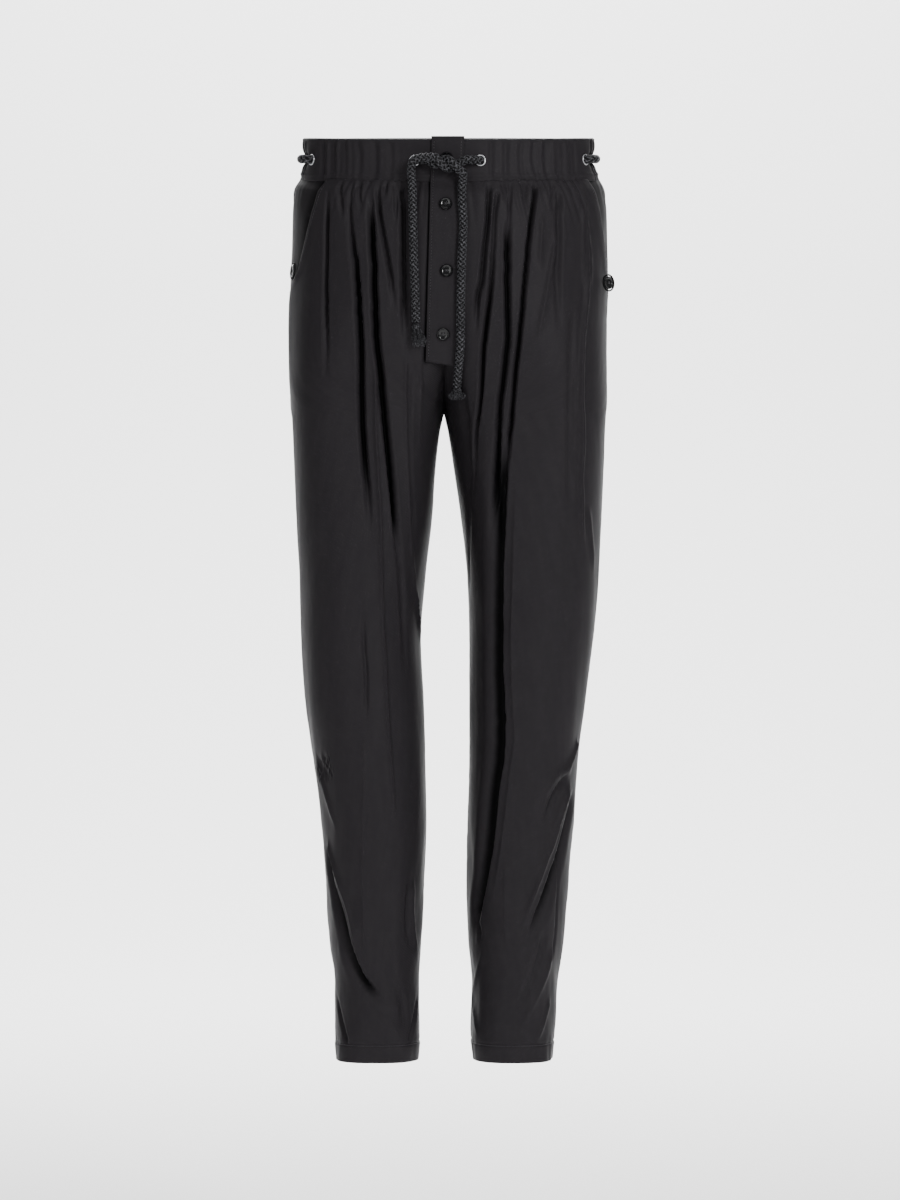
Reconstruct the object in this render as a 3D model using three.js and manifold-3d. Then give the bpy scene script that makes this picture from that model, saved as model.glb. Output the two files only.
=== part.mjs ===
// Drawstring joggers of soft twill, in the hollow shape they take when they are worn: four leg
// panels gathered into an elastic waistband, a buttoned fly placket, slanted side pockets with a
// button each, six eyelets and a braided drawcord tied in a half knot.
// Millimetres. X runs to the wearer's left, Y to the back and Z up. The origin is the middle of the
// waistband, level with the drawcord, where the wearer's waist holds the garment.
import * as THREE from "three";
import Module from "manifold-3d";
import { mergeVertices } from "three/addons/utils/BufferGeometryUtils.js";

const wasm = await Module();
wasm.setup();

// ---------------------------------------------------------------- driving dimensions
const CLOTH = 1.6; // wall of a single cloth panel
const BAND = 2.4; // wall of the waistband, two layers of cloth over elastic
const GAP = 0.3; // between pieces that are sewn or laid together
const WAIST_TOP = 26; // level of the waistband's top edge
const WAIST_SEAM = -22.5; // level where the panels are gathered into the waistband
const PARTING = -70; // where the two halves begin to draw apart towards the legs
const CROTCH = -289;
const HEM = -1010.5;
const WAIST_TILT = 0.125; // rise of the waist for each millimetre towards the back
const TILT_ENDS = -240; // level where the tilt has faded out
const CORD = { radius: 4, sides: 8, step: 6.8, longStep: 8.8 };
const BUTTON = { radius: 7.2, rim: 2.6, dish: 1.5, hole: 0.9, holeSpread: 1.9, sides: 12 };
const LOOP = { radius: 8.9, thickness: 1, stand: 1.45, sides: 5, steps: 13 };
const EYELET = { flange: 6.3, bore: 4.7, barrel: 5.2, lip: 0.9, sides: 12 };
const PLACKET = { width: 36, top: 0.5, bottom: -6, end: -236, spans: -60, lift: 1.2 };
const POCKET = {
  right: { top: 37, low: 23 }, // the mouth's upper and lower end, in degrees from the side seam
  left: { top: 25, low: 9 },
  end: -128,
  closes: -160,
  under: 4,
  deepest: -174,
  deeper: 4, // how much more the facing is sunk below the mouth, clear of the front's long faces
};
const SIDE_EYELET = 25; // degrees forwards of the side seam
const FRONT_EYELET = 36; // from the centre front

// The body of the garment: each row is a level, with the outline from the front (outer and inner
// edge of the right and left half, from the centre) and from the side (front and back depth).
const SECTIONS = named(
  ["z", "outerR", "innerR", "innerL", "outerL", "front", "back", "square"],
  [
    [26, 163, 0, 0, 165, 111, 112, 2.15],
    [-11, 164, 0, 0, 167, 113, 115, 2.15],
    [-22.5, 166, 0, 0, 171, 114, 117, 2.15],
    [-34, 171, 0, 0, 175, 118, 121, 2.15],
    [-60, 174, 0, 0, 179, 122, 126, 2.2],
    [-101, 175, 1, -1, 180, 125, 132, 2.25],
    [-139, 177, 1, -1, 181, 126, 138, 2.35],
    [-191, 179, 2, -2, 179, 124, 142, 2.6],
    [-247, 178, 3, -3, 179, 119, 141, 2.9],
    [-289, 175, 4, -4, 178, 114, 135, 2.9],
    [-304, 174, 7, -1, 177, 113, 133, 2.85],
    [-354, 172, 13, 7, 175, 110, 127, 2.6],
    [-405, 170, 17, 15, 173, 107, 120, 2.4],
    [-472, 166, 25, 22, 170, 102, 111, 2.25],
    [-540, 164, 30, 24, 164, 97, 103, 2.2],
    [-607, 160, 27, 24, 155, 92, 96, 2.2],
    [-674, 151, 25, 24, 146, 86, 89, 2.15],
    [-742, 142, 24, 22, 142, 79, 85, 2.15],
    [-809, 137, 26, 21, 136, 71, 82, 2.1],
    [-877, 133, 29, 23, 130, 63, 79, 2.1],
    [-927, 126, 32, 27, 124, 57, 75, 2.1],
    [-989, 126, 31, 26, 120, 53, 70, 2.45],
    [-1010.5, 124, 33, 28, 118, 52, 69, 2.7],
  ],
);

// Rows of cloth from the waist seam to the hem.
const LEVELS = [
  WAIST_SEAM - GAP / 2, -31, -45, -68, -98, POCKET.end, POCKET.closes, -170, -202, -232, -258,
  -276, -286, CROTCH, -301, -330, -372, -424, -480, -540, -596, -644, -686, -722, -754, -784,
  -814, -844, -874, -906, -940, -974, HEM,
];

// The largest folds: valleys that run down from the gathers. The columns seam to shin give how far
// each lies from the centre at that station; it starts at "from" and has faded out at "to". depth
// is its deepest, inner and outer are the widths of its two flanks, gathers the small ones between
// it and the next.
const STATIONS = { seam: -38, hip: -130, fly: -235, thigh: -360, above: -480, knee: -620, calf: -760, shin: -850 };
const FOLD_COLUMNS = [
  ...Object.keys(STATIONS), "to", "depth", "inner", "outer", "gathers",
];
const none = null;
const FOLDS = {
  frontR: named(FOLD_COLUMNS, [
    [46, 45, 41, 34, 28, none, none, none, -500, 8, 5, 6, 1],
    [75, 62, 54, none, none, none, none, none, -190, 7, 5, 5, 1],
    [85, 81, 73, 58, 49, 46, none, none, -620, 11, 5, 5, 1],
    [106, 100, 93, 87, 81, none, none, none, -500, 10, 5, 5, 1],
    [122, 132, 133, 132, none, none, none, none, -300, 7, 6, 5, 0],
  ]),
  frontL: named(FOLD_COLUMNS, [
    [46, 38, 28, none, none, none, none, none, -225, 6, 5, 4, 0],
    [57, 49, 40, 28, none, none, none, none, -380, 8, 4, 4, 1],
    [71, 67, 61, 50, 41, none, none, none, -450, 9, 4, 5, 1],
    [97, 88, 77, 66, 62, 63, 51, 35, -870, 12, 6, 4, 2],
    [120, 123, 125, 124, none, none, none, none, -280, 6, 6, 6, 0],
  ]),
  backR: named(FOLD_COLUMNS, [
    [30, 27, 24, none, none, none, none, none, -270, 6, 5, 5, 1],
    [56, 52, 50, 50, none, none, none, none, -380, 8, 6, 5, 1],
    [86, 82, 80, 78, 76, none, none, none, -520, 8, 6, 6, 2],
    [120, 122, 122, 118, none, none, none, none, -330, 6, 6, 6, 1],
  ]),
  backL: named(FOLD_COLUMNS, [
    [33, 31, 27, none, none, none, none, none, -250, 6, 5, 5, 1],
    [61, 57, 53, 52, none, none, none, none, -400, 8, 5, 6, 1],
    [92, 90, 85, 80, 79, none, none, none, -500, 8, 6, 6, 2],
    [127, 128, 126, 122, none, none, none, none, -310, 6, 6, 6, 1],
  ]),
};
const FOLD_OPENS = 45; // length over which a fold reaches its depth below the waist seam
const FOLD_FADES = 110; // length over which it runs out
const FLANK = 1.6; // a shoulder stands this many flank widths from the valley
const GATHER = { depth: 3.2, ends: -118 }; // small gathers under the waistband
const CREST = 1.6; // how far the cloth swells between valleys
const SPARE_COLUMN = 0.105; // plain columns stand this share of a panel apart

// Creases that cross the lower legs, each along a bowed line from one end to the other: a valley
// has a negative height.
const CREASES = {
  frontR: named(["x1", "z1", "x2", "z2", "bow", "height", "width"], [
    [134, -772, 72, -944, 9, -9, 9],
    [128, -752, 70, -915, 14, 3, 12],
    [133, -690, 118, -735, 3, -4, 8],
  ]),
  frontL: named(["x1", "z1", "x2", "z2", "bow", "height", "width"], [
    [134, -716, 78, -868, 4, 5, 10],
    [124, -790, 96, -924, -3, -6, 12],
    [120, -868, 76, -978, -4, 4, 9],
  ]),
  backR: named(["x1", "z1", "x2", "z2", "bow", "height", "width"], [
    [136, -640, 60, -700, 8, -6, 12],
    [130, -800, 62, -890, 8, -5, 12],
  ]),
  backL: named(["x1", "z1", "x2", "z2", "bow", "height", "width"], [
    [138, -655, 56, -715, 8, -6, 12],
    [128, -820, 60, -900, 8, -5, 12],
  ]),
};

const BAND_PUCKERS = 50; // small upright pleats round the elastic waistband
const PUCKER = 1.1; // their depth
const BAND_LEVELS = [WAIST_TOP, 8, 0, -8, WAIST_SEAM + GAP / 2];
const CHANNEL = { depth: 5.4, height: 7.5, full: 15, none: 21.5 }; // where the outer cord presses in

// ---------------------------------------------------------------- small helpers
/** Rows of numbers as objects with named columns. */
function named(columns, rows) {
  return rows.map((row) => Object.fromEntries(columns.map((name, i) => [name, row[i]])));
}

/** 0 below a, 1 above b (or the reverse), and smooth between. */
function smooth(a, b, x) {
  const t = Math.min(1, Math.max(0, (x - a) / (b - a)));
  return t * t * (3 - 2 * t);
}

/** A curve through [position, value] pairs that never overshoots between two of them. */
function through(pairs) {
  const sorted = [...pairs].sort((p, q) => p[0] - q[0]);
  const slope = sorted.slice(1).map((p, i) => (p[1] - sorted[i][1]) / (p[0] - sorted[i][0]));
  const tangent = sorted.map((_, i) => {
    const before = slope[i - 1] ?? slope[i];
    const after = slope[i] ?? slope[i - 1];
    return before * after <= 0 ? 0 : (2 * before * after) / (before + after);
  });
  return (at) => {
    const x = Math.min(sorted.at(-1)[0], Math.max(sorted[0][0], at));
    const k = Math.max(0, Math.min(sorted.length - 2, sorted.findLastIndex((p) => p[0] <= x)));
    const span = sorted[k + 1][0] - sorted[k][0];
    const t = (x - sorted[k][0]) / span;
    return (
      sorted[k][1] * (1 + 2 * t) * (1 - t) ** 2 +
      sorted[k + 1][1] * t * t * (3 - 2 * t) +
      tangent[k] * span * t * (1 - t) ** 2 -
      tangent[k + 1] * span * t * t * (1 - t)
    );
  };
}

const section = Object.fromEntries(
  Object.keys(SECTIONS[0]).map((key) => [key, through(SECTIONS.map((row) => [row.z, row[key]]))]),
);

// ---------------------------------------------------------------- the garment's form
/** The ring of one half (side -1 right, 1 left) at a level: a squarish ellipse that is cut by the
 * centre plane above the crotch and closes to a leg below it. open is the angle of its inner end. */
function ring(side, level) {
  const outer = section[side < 0 ? "outerR" : "outerL"](level);
  const inner = section[side < 0 ? "innerR" : "innerL"](level);
  const [front, back, square] = [section.front(level), section.back(level), section.square(level)];
  const half = (outer - inner) * (1 - 0.5 * smooth(PARTING, CROTCH, level));
  const parted = Math.min(1, (outer - inner) / half - 1);
  return {
    centre: outer - half,
    half,
    middle: (back - front) / 2,
    depth: (back + front) / 2,
    square,
    open: Math.atan2((1 - parted ** square) ** (1 / square), -parted),
  };
}

/** A point of the smooth form: angle 0 is the side seam, negative to the front. */
function formPoint(side, angle, level) {
  const r = ring(side, level);
  const [cos, sin] = [Math.cos(angle), Math.sin(angle)];
  const reach = (Math.abs(cos) ** r.square + Math.abs(sin) ** r.square) ** (-1 / r.square);
  const y = r.middle + r.depth * reach * sin;
  return new THREE.Vector3(
    side * (r.centre + r.half * reach * cos),
    y,
    level + WAIST_TILT * y * smooth(TILT_ENDS, WAIST_SEAM, level),
  );
}

/** The form's outward normal at a point. */
function formNormal(side, angle, level) {
  const [turn, rise] = [1e-3, 0.5];
  const along = formPoint(side, angle + turn, level).sub(formPoint(side, angle - turn, level));
  const up = formPoint(side, angle, level + rise).sub(formPoint(side, angle, level - rise));
  return along.cross(up).normalize().multiplyScalar(side);
}

/** The form's point and normal, moved out along the normal. */
function skin(side, angle, level, out = 0) {
  const normal = formNormal(side, angle, level);
  return { point: formPoint(side, angle, level).addScaledVector(normal, out), normal };
}

/** The angle on the front (face -1) or back (face 1) at a distance from the centre. */
function angleAt(side, face, level, distance) {
  const r = ring(side, level);
  const across = Math.min(1, Math.max(-1, (distance - r.centre) / r.half));
  return face * Math.atan2((1 - Math.abs(across) ** r.square) ** (1 / r.square), across);
}

/** A point on the front by its distance x from the centre and its level, moved out. */
function frontSkin(x, level, out) {
  const side = x < 0 ? -1 : 1;
  return skin(side, angleAt(side, -1, level, Math.abs(x)), level, out);
}

/** The same by its height z, which the waist's tilt sets apart from its level. */
function atHeight(place, x, z, out) {
  let level = z;
  for (let i = 0; i < 6; i++) {
    level += z - place(x, level, 0).point.z;
  }
  return place(x, level, out);
}

/** The same on the placket, which is stiff and spans the hollow between the legs. */
function placketSkin(x, level, out) {
  const edges = [-0.5, 0.5].map((half) => {
    return frontSkin(placketMiddle(level) + PLACKET.width * half, level, out);
  });
  const own = frontSkin(x, level, out);
  const t = (x - edges[0].point.x) / (edges[1].point.x - edges[0].point.x);
  const spans = smooth(PLACKET.spans, PLACKET.spans - 70, level);
  return {
    point: own.point.lerp(edges[0].point.clone().lerp(edges[1].point, t), spans),
    normal: own.normal.lerp(edges[0].normal.clone().lerp(edges[1].normal, t), spans).normalize(),
  };
}

// ---------------------------------------------------------------- cloth walls
/** Triangles between two rows of points, matched by key; a point with no partner is fanned. */
function strip(upper, lower) {
  const faces = [];
  let [i, j] = [0, 0];
  while (i < upper.length - 1 || j < lower.length - 1) {
    const stepUpper =
      j === lower.length - 1 || (i < upper.length - 1 && upper[i + 1].key <= lower[j + 1].key);
    faces.push([upper[i].id, lower[j].id, stepUpper ? upper[i + 1].id : lower[j + 1].id]);
    stepUpper ? i++ : j++;
  }
  return faces;
}

/** A closed cloth wall from rows of { key, point, normal }, as thick as given under its points. */
function wall(rows, thickness) {
  const points = [];
  const add = (point, key) => ({ key, id: points.push(point) - 1 });
  const outer = rows.map((row) => row.map((p) => add(p.point, p.key)));
  const inner = rows.map((row) =>
    row.map((p) => add(p.point.clone().addScaledVector(p.normal, -thickness), p.key)),
  );
  const faces = [];
  for (let i = 0; i + 1 < rows.length; i++) {
    faces.push(...strip(outer[i], outer[i + 1]));
    faces.push(...strip(inner[i], inner[i + 1]).map((f) => f.reverse()));
  }
  faces.push(...strip(inner[0], outer[0]), ...strip(outer.at(-1), inner.at(-1)));
  const edge = (layer, at) => layer.map((row, key) => ({ key, id: row.at(at).id }));
  faces.push(...strip(edge(outer, 0), edge(inner, 0)), ...strip(edge(inner, -1), edge(outer, -1)));
  return solid(points, faces);
}

/** An indexed geometry whose faces point outwards. */
function solid(points, faces) {
  const volume = faces.reduce((sum, [a, b, c]) => {
    return sum + points[a].dot(points[b].clone().cross(points[c]));
  }, 0);
  const index = faces.flatMap((f) => (volume < 0 ? [f[0], f[2], f[1]] : f));
  return new THREE.BufferGeometry()
    .setAttribute("position", new THREE.Float32BufferAttribute(points.flatMap((p) => [...p]), 3))
    .setIndex(index);
}

// ---------------------------------------------------------------- leg panels
/** How deep a fold is at a level, from 0 to 1. */
function foldShare(fold, level) {
  const opened = 0.35 + 0.65 * smooth(WAIST_SEAM, WAIST_SEAM - FOLD_OPENS, level);
  return opened * smooth(fold.to, fold.to + FOLD_FADES, level);
}

/** Each fold's valley and shoulders, by level, as a share of the way from the centre (0) to the
 * side seam (1). */
function foldLines(folds, side, face) {
  return folds.map((fold) => {
    const stations = Object.keys(STATIONS).filter((name) => fold[name] !== none);
    const distance = through(stations.map((name) => [STATIONS[name], fold[name]]));
    const line = (offset) => (level) => {
      const angle = Math.abs(angleAt(side, face, level, distance(level) + offset));
      return 1 - angle / ring(side, level).open;
    };
    return {
      fold,
      inner: line(-FLANK * fold.inner),
      valley: line(0),
      outer: line(FLANK * fold.outer),
    };
  });
}

/** Where fold k's column stands at a level, as a share: in its valley, and past its end in the
 * same proportion to a fold that runs on beyond it. */
function placeOf(lines, k, level) {
  const { fold, valley } = lines[k];
  if (level >= fold.to) return valley(level);
  const outlives = (other) => other.fold.to < fold.to;
  const next = lines.findIndex((other, i) => i > k && outlives(other));
  if (next > 0) {
    return (valley(fold.to) * placeOf(lines, next, level)) / placeOf(lines, next, fold.to);
  }
  const before = lines.findLastIndex((other, i) => i < k && outlives(other));
  if (before < 0) return valley(fold.to);
  const left = (1 - placeOf(lines, before, level)) / (1 - placeOf(lines, before, fold.to));
  return 1 - (1 - valley(fold.to)) * left;
}

/** The columns of one row of cloth: { key, share, out } from the centre to the panel's end, with
 * one at the inner edge of the flat strip over the pocket facing. */
function columns(lines, level, end, flat) {
  const stops = [{ key: 0, share: 0, out: 0 }];
  lines.forEach(({ fold, inner, outer }, k) => {
    const deep = foldShare(fold, level);
    const key = 10 * (k + 1);
    if (deep > 0) stops.push({ key: key - 1, share: inner(level), out: CREST * deep });
    stops.push({ key, share: placeOf(lines, k, level), out: -fold.depth * deep });
    if (deep > 0) stops.push({ key: key + 1, share: outer(level), out: CREST * deep });
  });
  const last = 10 * (lines.length + 1);
  if (end < 1 || level === POCKET.closes) stops.push({ key: last - 2, share: end - flat, out: 0 });
  stops.push({ key: last, share: end, out: 0 });
  const least = 0.008;
  for (let i = 1; i < stops.length; i++) {
    stops[i].share = Math.max(stops[i].share, stops[i - 1].share + least);
  }
  for (let i = stops.length - 2; i > 0; i--) {
    stops[i].share = Math.min(stops[i].share, stops[i + 1].share - least);
  }
  return stops;
}

/** Columns between two stops: small gathers near the waistband, plain ones lower down. */
function between(a, b, fold, level) {
  const gathered = level > GATHER.ends;
  const wide = Math.floor((b.share - a.share) / SPARE_COLUMN);
  const count = gathered ? 2 * (fold?.gathers ?? 0) + 1 : wide;
  const fading = smooth(GATHER.ends, WAIST_SEAM, level);
  return Array.from({ length: count }, (_, i) => {
    const t = (i + 1) / (count + 1);
    const swell = (1 - t) * a.out + t * b.out;
    const wave = gathered && i % 2 === 0 && count > 1 ? -GATHER.depth * fading : 0;
    return {
      key: a.key + (b.key - a.key) * t,
      share: a.share + (b.share - a.share) * t,
      out: swell + wave,
    };
  });
}

/** The height of the creases at a point of a panel. */
function creaseHeight(creases, x, z) {
  return creases.reduce((sum, c) => {
    const [dx, dz] = [c.x2 - c.x1, c.z2 - c.z1];
    const length = Math.hypot(dx, dz);
    const t = ((x - c.x1) * dx + (z - c.z1) * dz) / length ** 2;
    const across = ((x - c.x1) * dz - (z - c.z1) * dx) / length - c.bow * 4 * t * (1 - t);
    const taper = smooth(-0.12, 0.15, t) * smooth(1.12, 0.8, t);
    return sum + c.height * taper * Math.exp(-((across / c.width) ** 2));
  }, 0);
}

/** How far, in degrees, a panel stops short of the side seam: a front does at its pocket mouth. */
function shortOfSeam(side, face, level) {
  return face < 0 && level > POCKET.end - 1 ? pocketAngle(side, level) : 0;
}

/** How freely the cloth folds: flat along its edges, under the placket and over the facing. */
function freedom(side, face, level, x, share, degrees) {
  const edges = smooth(0, 0.04, share) * smooth(1, 0.96, share);
  if (face > 0 || level < POCKET.closes - 30) return edges * besidePlacket(side, face, level, x);
  const mouth = shortOfSeam(side, face, level) + POCKET.under + 1;
  return smooth(mouth, mouth + 6, degrees) * besidePlacket(side, face, level, x);
}

/** 0 under the placket and 1 clear of it. */
function besidePlacket(side, face, level, x) {
  if (face > 0 || level < PLACKET.end - 12) return 1;
  const reach = PLACKET.width / 2 + 1 + side * placketMiddle(level);
  return smooth(reach, reach + 7, x);
}

/** The pocket mouth's angle from the side seam, in degrees. */
function pocketAngle(side, level) {
  const { top, low } = side < 0 ? POCKET.right : POCKET.left;
  const t = (level - POCKET.end) / (WAIST_SEAM - POCKET.end);
  return low + (top - low) * t;
}

/** A front (face -1) or back (face 1) panel, from the waist seam to the hem. */
function panel(side, face) {
  const name = (face < 0 ? "front" : "back") + (side < 0 ? "R" : "L");
  const lines = foldLines(FOLDS[name], side, face);
  const rows = LEVELS.map((level) => {
    const open = face * ring(side, level).open;
    const short = shortOfSeam(side, face, level);
    const shareOf = (degrees) => THREE.MathUtils.degToRad(degrees) / Math.abs(open);
    const stops = columns(lines, level, 1 - shareOf(short), shareOf(POCKET.under + 1.5));
    const all = stops.flatMap((stop, i) => {
      const next = stops[i + 1];
      if (!next) return [stop];
      const fold = FOLDS[name][Math.floor((stop.key + 1) / 10) - 1];
      const gap = next.key - stop.key > 5 || i === 0;
      return [stop, ...(gap ? between(stop, next, fold, level) : [])];
    });
    return all.map(({ key, share, out }) => {
      const angle = open * (1 - share);
      const at = skin(side, angle, level);
      const across = Math.abs(at.point.x);
      const lift = out + creaseHeight(CREASES[name], across, at.point.z);
      const degrees = Math.abs(THREE.MathUtils.radToDeg(angle));
      const free = freedom(side, face, level, across, share, degrees);
      at.point.addScaledVector(at.normal, lift * free);
      if (share === 0) {
        at.point.x += (side * GAP) / 2;
        if (level <= CROTCH) at.point.y += (face * GAP) / 2;
      }
      if (share === 1) at.point.y += (face * GAP) / 2;
      return { key, ...at };
    });
  });
  return wall(rows, CLOTH);
}

/** The pocket facing: it fills the corner behind the pocket mouth and runs under the front. */
function pocketFacing(side) {
  const levels = [...LEVELS.filter((level) => level >= POCKET.closes), POCKET.deepest];
  const steps = 6;
  const rows = levels.map((level) => {
    const sunk = CLOTH + 2 * GAP + (level < POCKET.end + 1 ? POCKET.deeper : 0);
    const mouth = pocketAngle(side, Math.max(level, POCKET.end)) + POCKET.under;
    return Array.from({ length: steps + 1 }, (_, i) => {
      const degrees = (mouth * i) / steps;
      const under = level < POCKET.closes + 1 ? 1 : smooth(0, mouth - 2 * POCKET.under, degrees);
      const at = skin(side, -THREE.MathUtils.degToRad(degrees), level, -sunk * under);
      if (i === 0) at.point.y -= GAP / 2;
      return { key: i, ...at };
    });
  });
  return wall(rows, CLOTH);
}

// ---------------------------------------------------------------- waistband and fly
/** The channel that the drawcord presses where it runs outside the band. */
function cordRelief(side, angle, level) {
  const near = Math.exp(-((level / CHANNEL.height) ** 2));
  const forwards = -THREE.MathUtils.radToDeg(angle);
  return -CHANNEL.depth * smooth(CHANNEL.none, CHANNEL.full, forwards) * near;
}

/** Which puckers the band shows: none where the placket or an eyelet lies flat on it. */
function puckerShare(side, angle, level) {
  const { x, y } = formPoint(side, angle, level);
  const forwards = -THREE.MathUtils.radToDeg(angle);
  const besideFly = y > 0 ? 1 : smooth(FRONT_EYELET + 8, FRONT_EYELET + 16, Math.abs(x));
  const besideEyelet = smooth(5, 8, Math.abs(forwards - SIDE_EYELET));
  const edges = smooth(WAIST_TOP, WAIST_TOP - 6, level);
  return besideFly * besideEyelet * (0.35 + 0.65 * edges);
}

/** The elastic waistband: one strip round the waist, with its ends under the placket. */
function waistband() {
  const count = 2 * BAND_PUCKERS;
  const start = -Math.PI / 2;
  const rows = BAND_LEVELS.map((level) =>
    Array.from({ length: count + 1 }, (_, i) => {
      const turn = start + (2 * Math.PI * i) / count;
      const side = i <= count / 2 ? 1 : -1;
      const angle = side > 0 ? turn : Math.PI - turn;
      const rounded = level === WAIST_TOP ? -0.8 : 0;
      const wave = (i % 2 ? -PUCKER : 0) * puckerShare(side, angle, level);
      const at = skin(side, angle, level, rounded + wave + cordRelief(side, angle, level));
      if (i === 0 || i === count) at.point.x = (side * GAP) / 2;
      return { key: i, ...at };
    }),
  );
  const band = wall(rows, BAND);
  const holes = eyeletPlaces().map(({ point, normal }) => {
    const drill = new THREE.CylinderGeometry(EYELET.barrel + GAP, EYELET.barrel + GAP, 14, 12);
    return drill.applyMatrix4(facing(point, normal));
  });
  return cutting(band, holes);
}

/** The middle of the placket at a level: it leans a little to the wearer's right. */
function placketMiddle(level) {
  const t = (level - WAIST_TOP) / (PLACKET.end - WAIST_TOP);
  return PLACKET.top + (PLACKET.bottom - PLACKET.top) * t;
}

/** The buttoned placket: a strip laid over the band and the fronts, down to the fly's foot. */
function placket() {
  const heights = [...BAND_LEVELS, ...LEVELS].filter((level) => level > PLACKET.end + 8);
  const steps = 4;
  const rows = [...heights, PLACKET.end].map((level) => {
    const middle = placketMiddle(level);
    const foot = level === PLACKET.end ? 2 : 0;
    return Array.from({ length: steps + 1 }, (_, i) => {
      const x = middle + PLACKET.width * (i / steps - 0.5);
      const drop = foot * (0.5 - i / steps);
      return { key: i, ...placketSkin(x, level + drop, PLACKET.lift + CLOTH) };
    });
  });
  return wall(rows, CLOTH);
}

// ---------------------------------------------------------------- hard pieces
/** A matrix that stands a piece turned on its Y axis at a point, facing along a normal. */
function facing(point, normal) {
  const turn = new THREE.Quaternion().setFromUnitVectors(new THREE.Vector3(0, 1, 0), normal);
  return new THREE.Matrix4().compose(point, turn, new THREE.Vector3(1, 1, 1));
}

/** A geometry as a solid for joining and cutting. */
function manifold(geometry) {
  const plain = new THREE.BufferGeometry().setAttribute("position", geometry.getAttribute("position"));
  if (geometry.index) plain.setIndex(geometry.index);
  const merged = mergeVertices(plain, 1e-3);
  const mesh = new wasm.Mesh({
    numProp: 3,
    vertProperties: merged.attributes.position.array,
    triVerts: new Uint32Array(merged.index.array),
  });
  return new wasm.Manifold(mesh);
}

/** A solid as a geometry, without its finest slivers. */
function geometryOf(made) {
  const mesh = made.asOriginal().simplify(0.02).getMesh();
  return new THREE.BufferGeometry()
    .setAttribute("position", new THREE.BufferAttribute(mesh.vertProperties, 3))
    .setIndex(new THREE.BufferAttribute(mesh.triVerts, 1));
}

/** A geometry with others cut out of it. */
function cutting(geometry, cutters) {
  return geometryOf(cutters.reduce((body, c) => body.subtract(manifold(c)), manifold(geometry)));
}

/** Geometries fused into one, with any pocket of air closed in between them filled. */
function fused(geometries) {
  const parts = geometries.map(manifold).reduce((a, b) => a.add(b)).decompose();
  return geometryOf(wasm.Manifold.compose(parts.filter((shell) => shell.volume() > 0)));
}

/** A four-hole button with a raised rim round a dished face, its back at y = 0. */
function button() {
  const { radius, rim, dish, hole, holeSpread, sides } = BUTTON;
  const outline = [
    [0, 0], [radius - 1.2, 0], [radius, 1], [radius - 0.8, rim], [radius - 2.2, dish], [0, dish],
  ];
  const body = new THREE.LatheGeometry(outline.map(([x, y]) => new THREE.Vector2(x, y)), sides);
  const holes = [0, 1, 2, 3].map((k) => {
    const angle = Math.PI / 4 + (k * Math.PI) / 2;
    return new THREE.CylinderGeometry(hole, hole, 4 * rim, 4).translate(
      holeSpread * Math.cos(angle), 0, holeSpread * Math.sin(angle),
    );
  });
  return cutting(body, holes);
}

/** An eyelet: a barrel through the band, with a rolled lip outside and a flat one inside. */
function eyelet() {
  const { flange, bore, barrel, lip, sides } = EYELET;
  const outside = 0.5;
  const inside = -BAND - 0.5;
  const outline = [
    [bore, inside - lip], [flange - 0.6, inside - lip], [flange - 0.6, inside], [barrel, inside],
    [barrel, outside], [flange, outside], [flange - 0.6, outside + lip], [bore + 0.3, outside + lip],
    [bore, inside - lip],
  ];
  return new THREE.LatheGeometry(outline.map(([x, y]) => new THREE.Vector2(x, y)), sides);
}

/** Where the eyelets sit: two beside the fly and one towards each side of the waist. */
function eyeletPlaces() {
  const names = { "-1": "right", 1: "left" };
  return [-1, 1].flatMap((side) => {
    const places = {
      front: angleAt(side, -1, 0, FRONT_EYELET),
      side: -THREE.MathUtils.degToRad(SIDE_EYELET),
    };
    return Object.entries(places).map(([place, angle]) => ({
      name: `eyelet_${place}_${names[side]}`,
      ...skin(side, angle, 0),
    }));
  });
}

// ---------------------------------------------------------------- drawcord
// The two front ends, by hand: distance from the centre, height and how far out from the cloth.
// Each comes out of its eyelet, goes round the other in the knot and hangs down the far side.
const KNOT = { from: [-13, -16, 14.6], to: [12, -22, 14.6], radius: 4.65, turn: -270, steps: 8 };
const ROUTES = {
  drawcord_right: {
    before: [[-36, -13.9, -3], [-36, -13.9, 1], [-34.8, -14, 5], [-29, -14.4, 8.4], [-21, -15.2, 10.4]],
    phase: 225,
    reversed: false,
    after: [
      [16.4, -30.5, 15.6], [16.2, -38.5, 12], [15.4, -49, 8.9], [15.6, -62, 7.4], [17, -84, 6.9],
      [15.6, -122, 6.9], [14.8, -166, 6.9], [15.8, -218, 6.6], [14.6, -246, 6], [14.4, -259, 6],
    ],
  },
  drawcord_left: {
    before: [[36, -13.9, -3], [36, -13.9, 1], [34.8, -14, 5], [28, -14.4, 8.6], [19.5, -15, 10.8]],
    phase: 135,
    reversed: true,
    after: [
      [-20, -13.4, 18.2], [-27.5, -13.8, 18], [-33.8, -16, 17.2], [-37.2, -21, 15], [-38, -29, 12],
      [-37.8, -38, 9], [-37.4, -57, 6.8], [-36.2, -122, 6.2], [-35, -166, 6.2], [-34.6, -192, 6.2],
    ],
  },
};

/** The stretch of a cord that winds round the other one in the knot. */
function knotTurn(phase, reversed) {
  const [from, to, turn] = reversed ? [KNOT.to, KNOT.from, -KNOT.turn] : [KNOT.from, KNOT.to, KNOT.turn];
  return Array.from({ length: KNOT.steps + 1 }, (_, i) => {
    const t = i / KNOT.steps;
    const angle = THREE.MathUtils.degToRad(phase + turn * t);
    const [x, z, out] = from.map((value, k) => value + (to[k] - value) * t);
    return [x, z + KNOT.radius * Math.sin(angle), out + KNOT.radius * Math.cos(angle)];
  });
}

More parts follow.
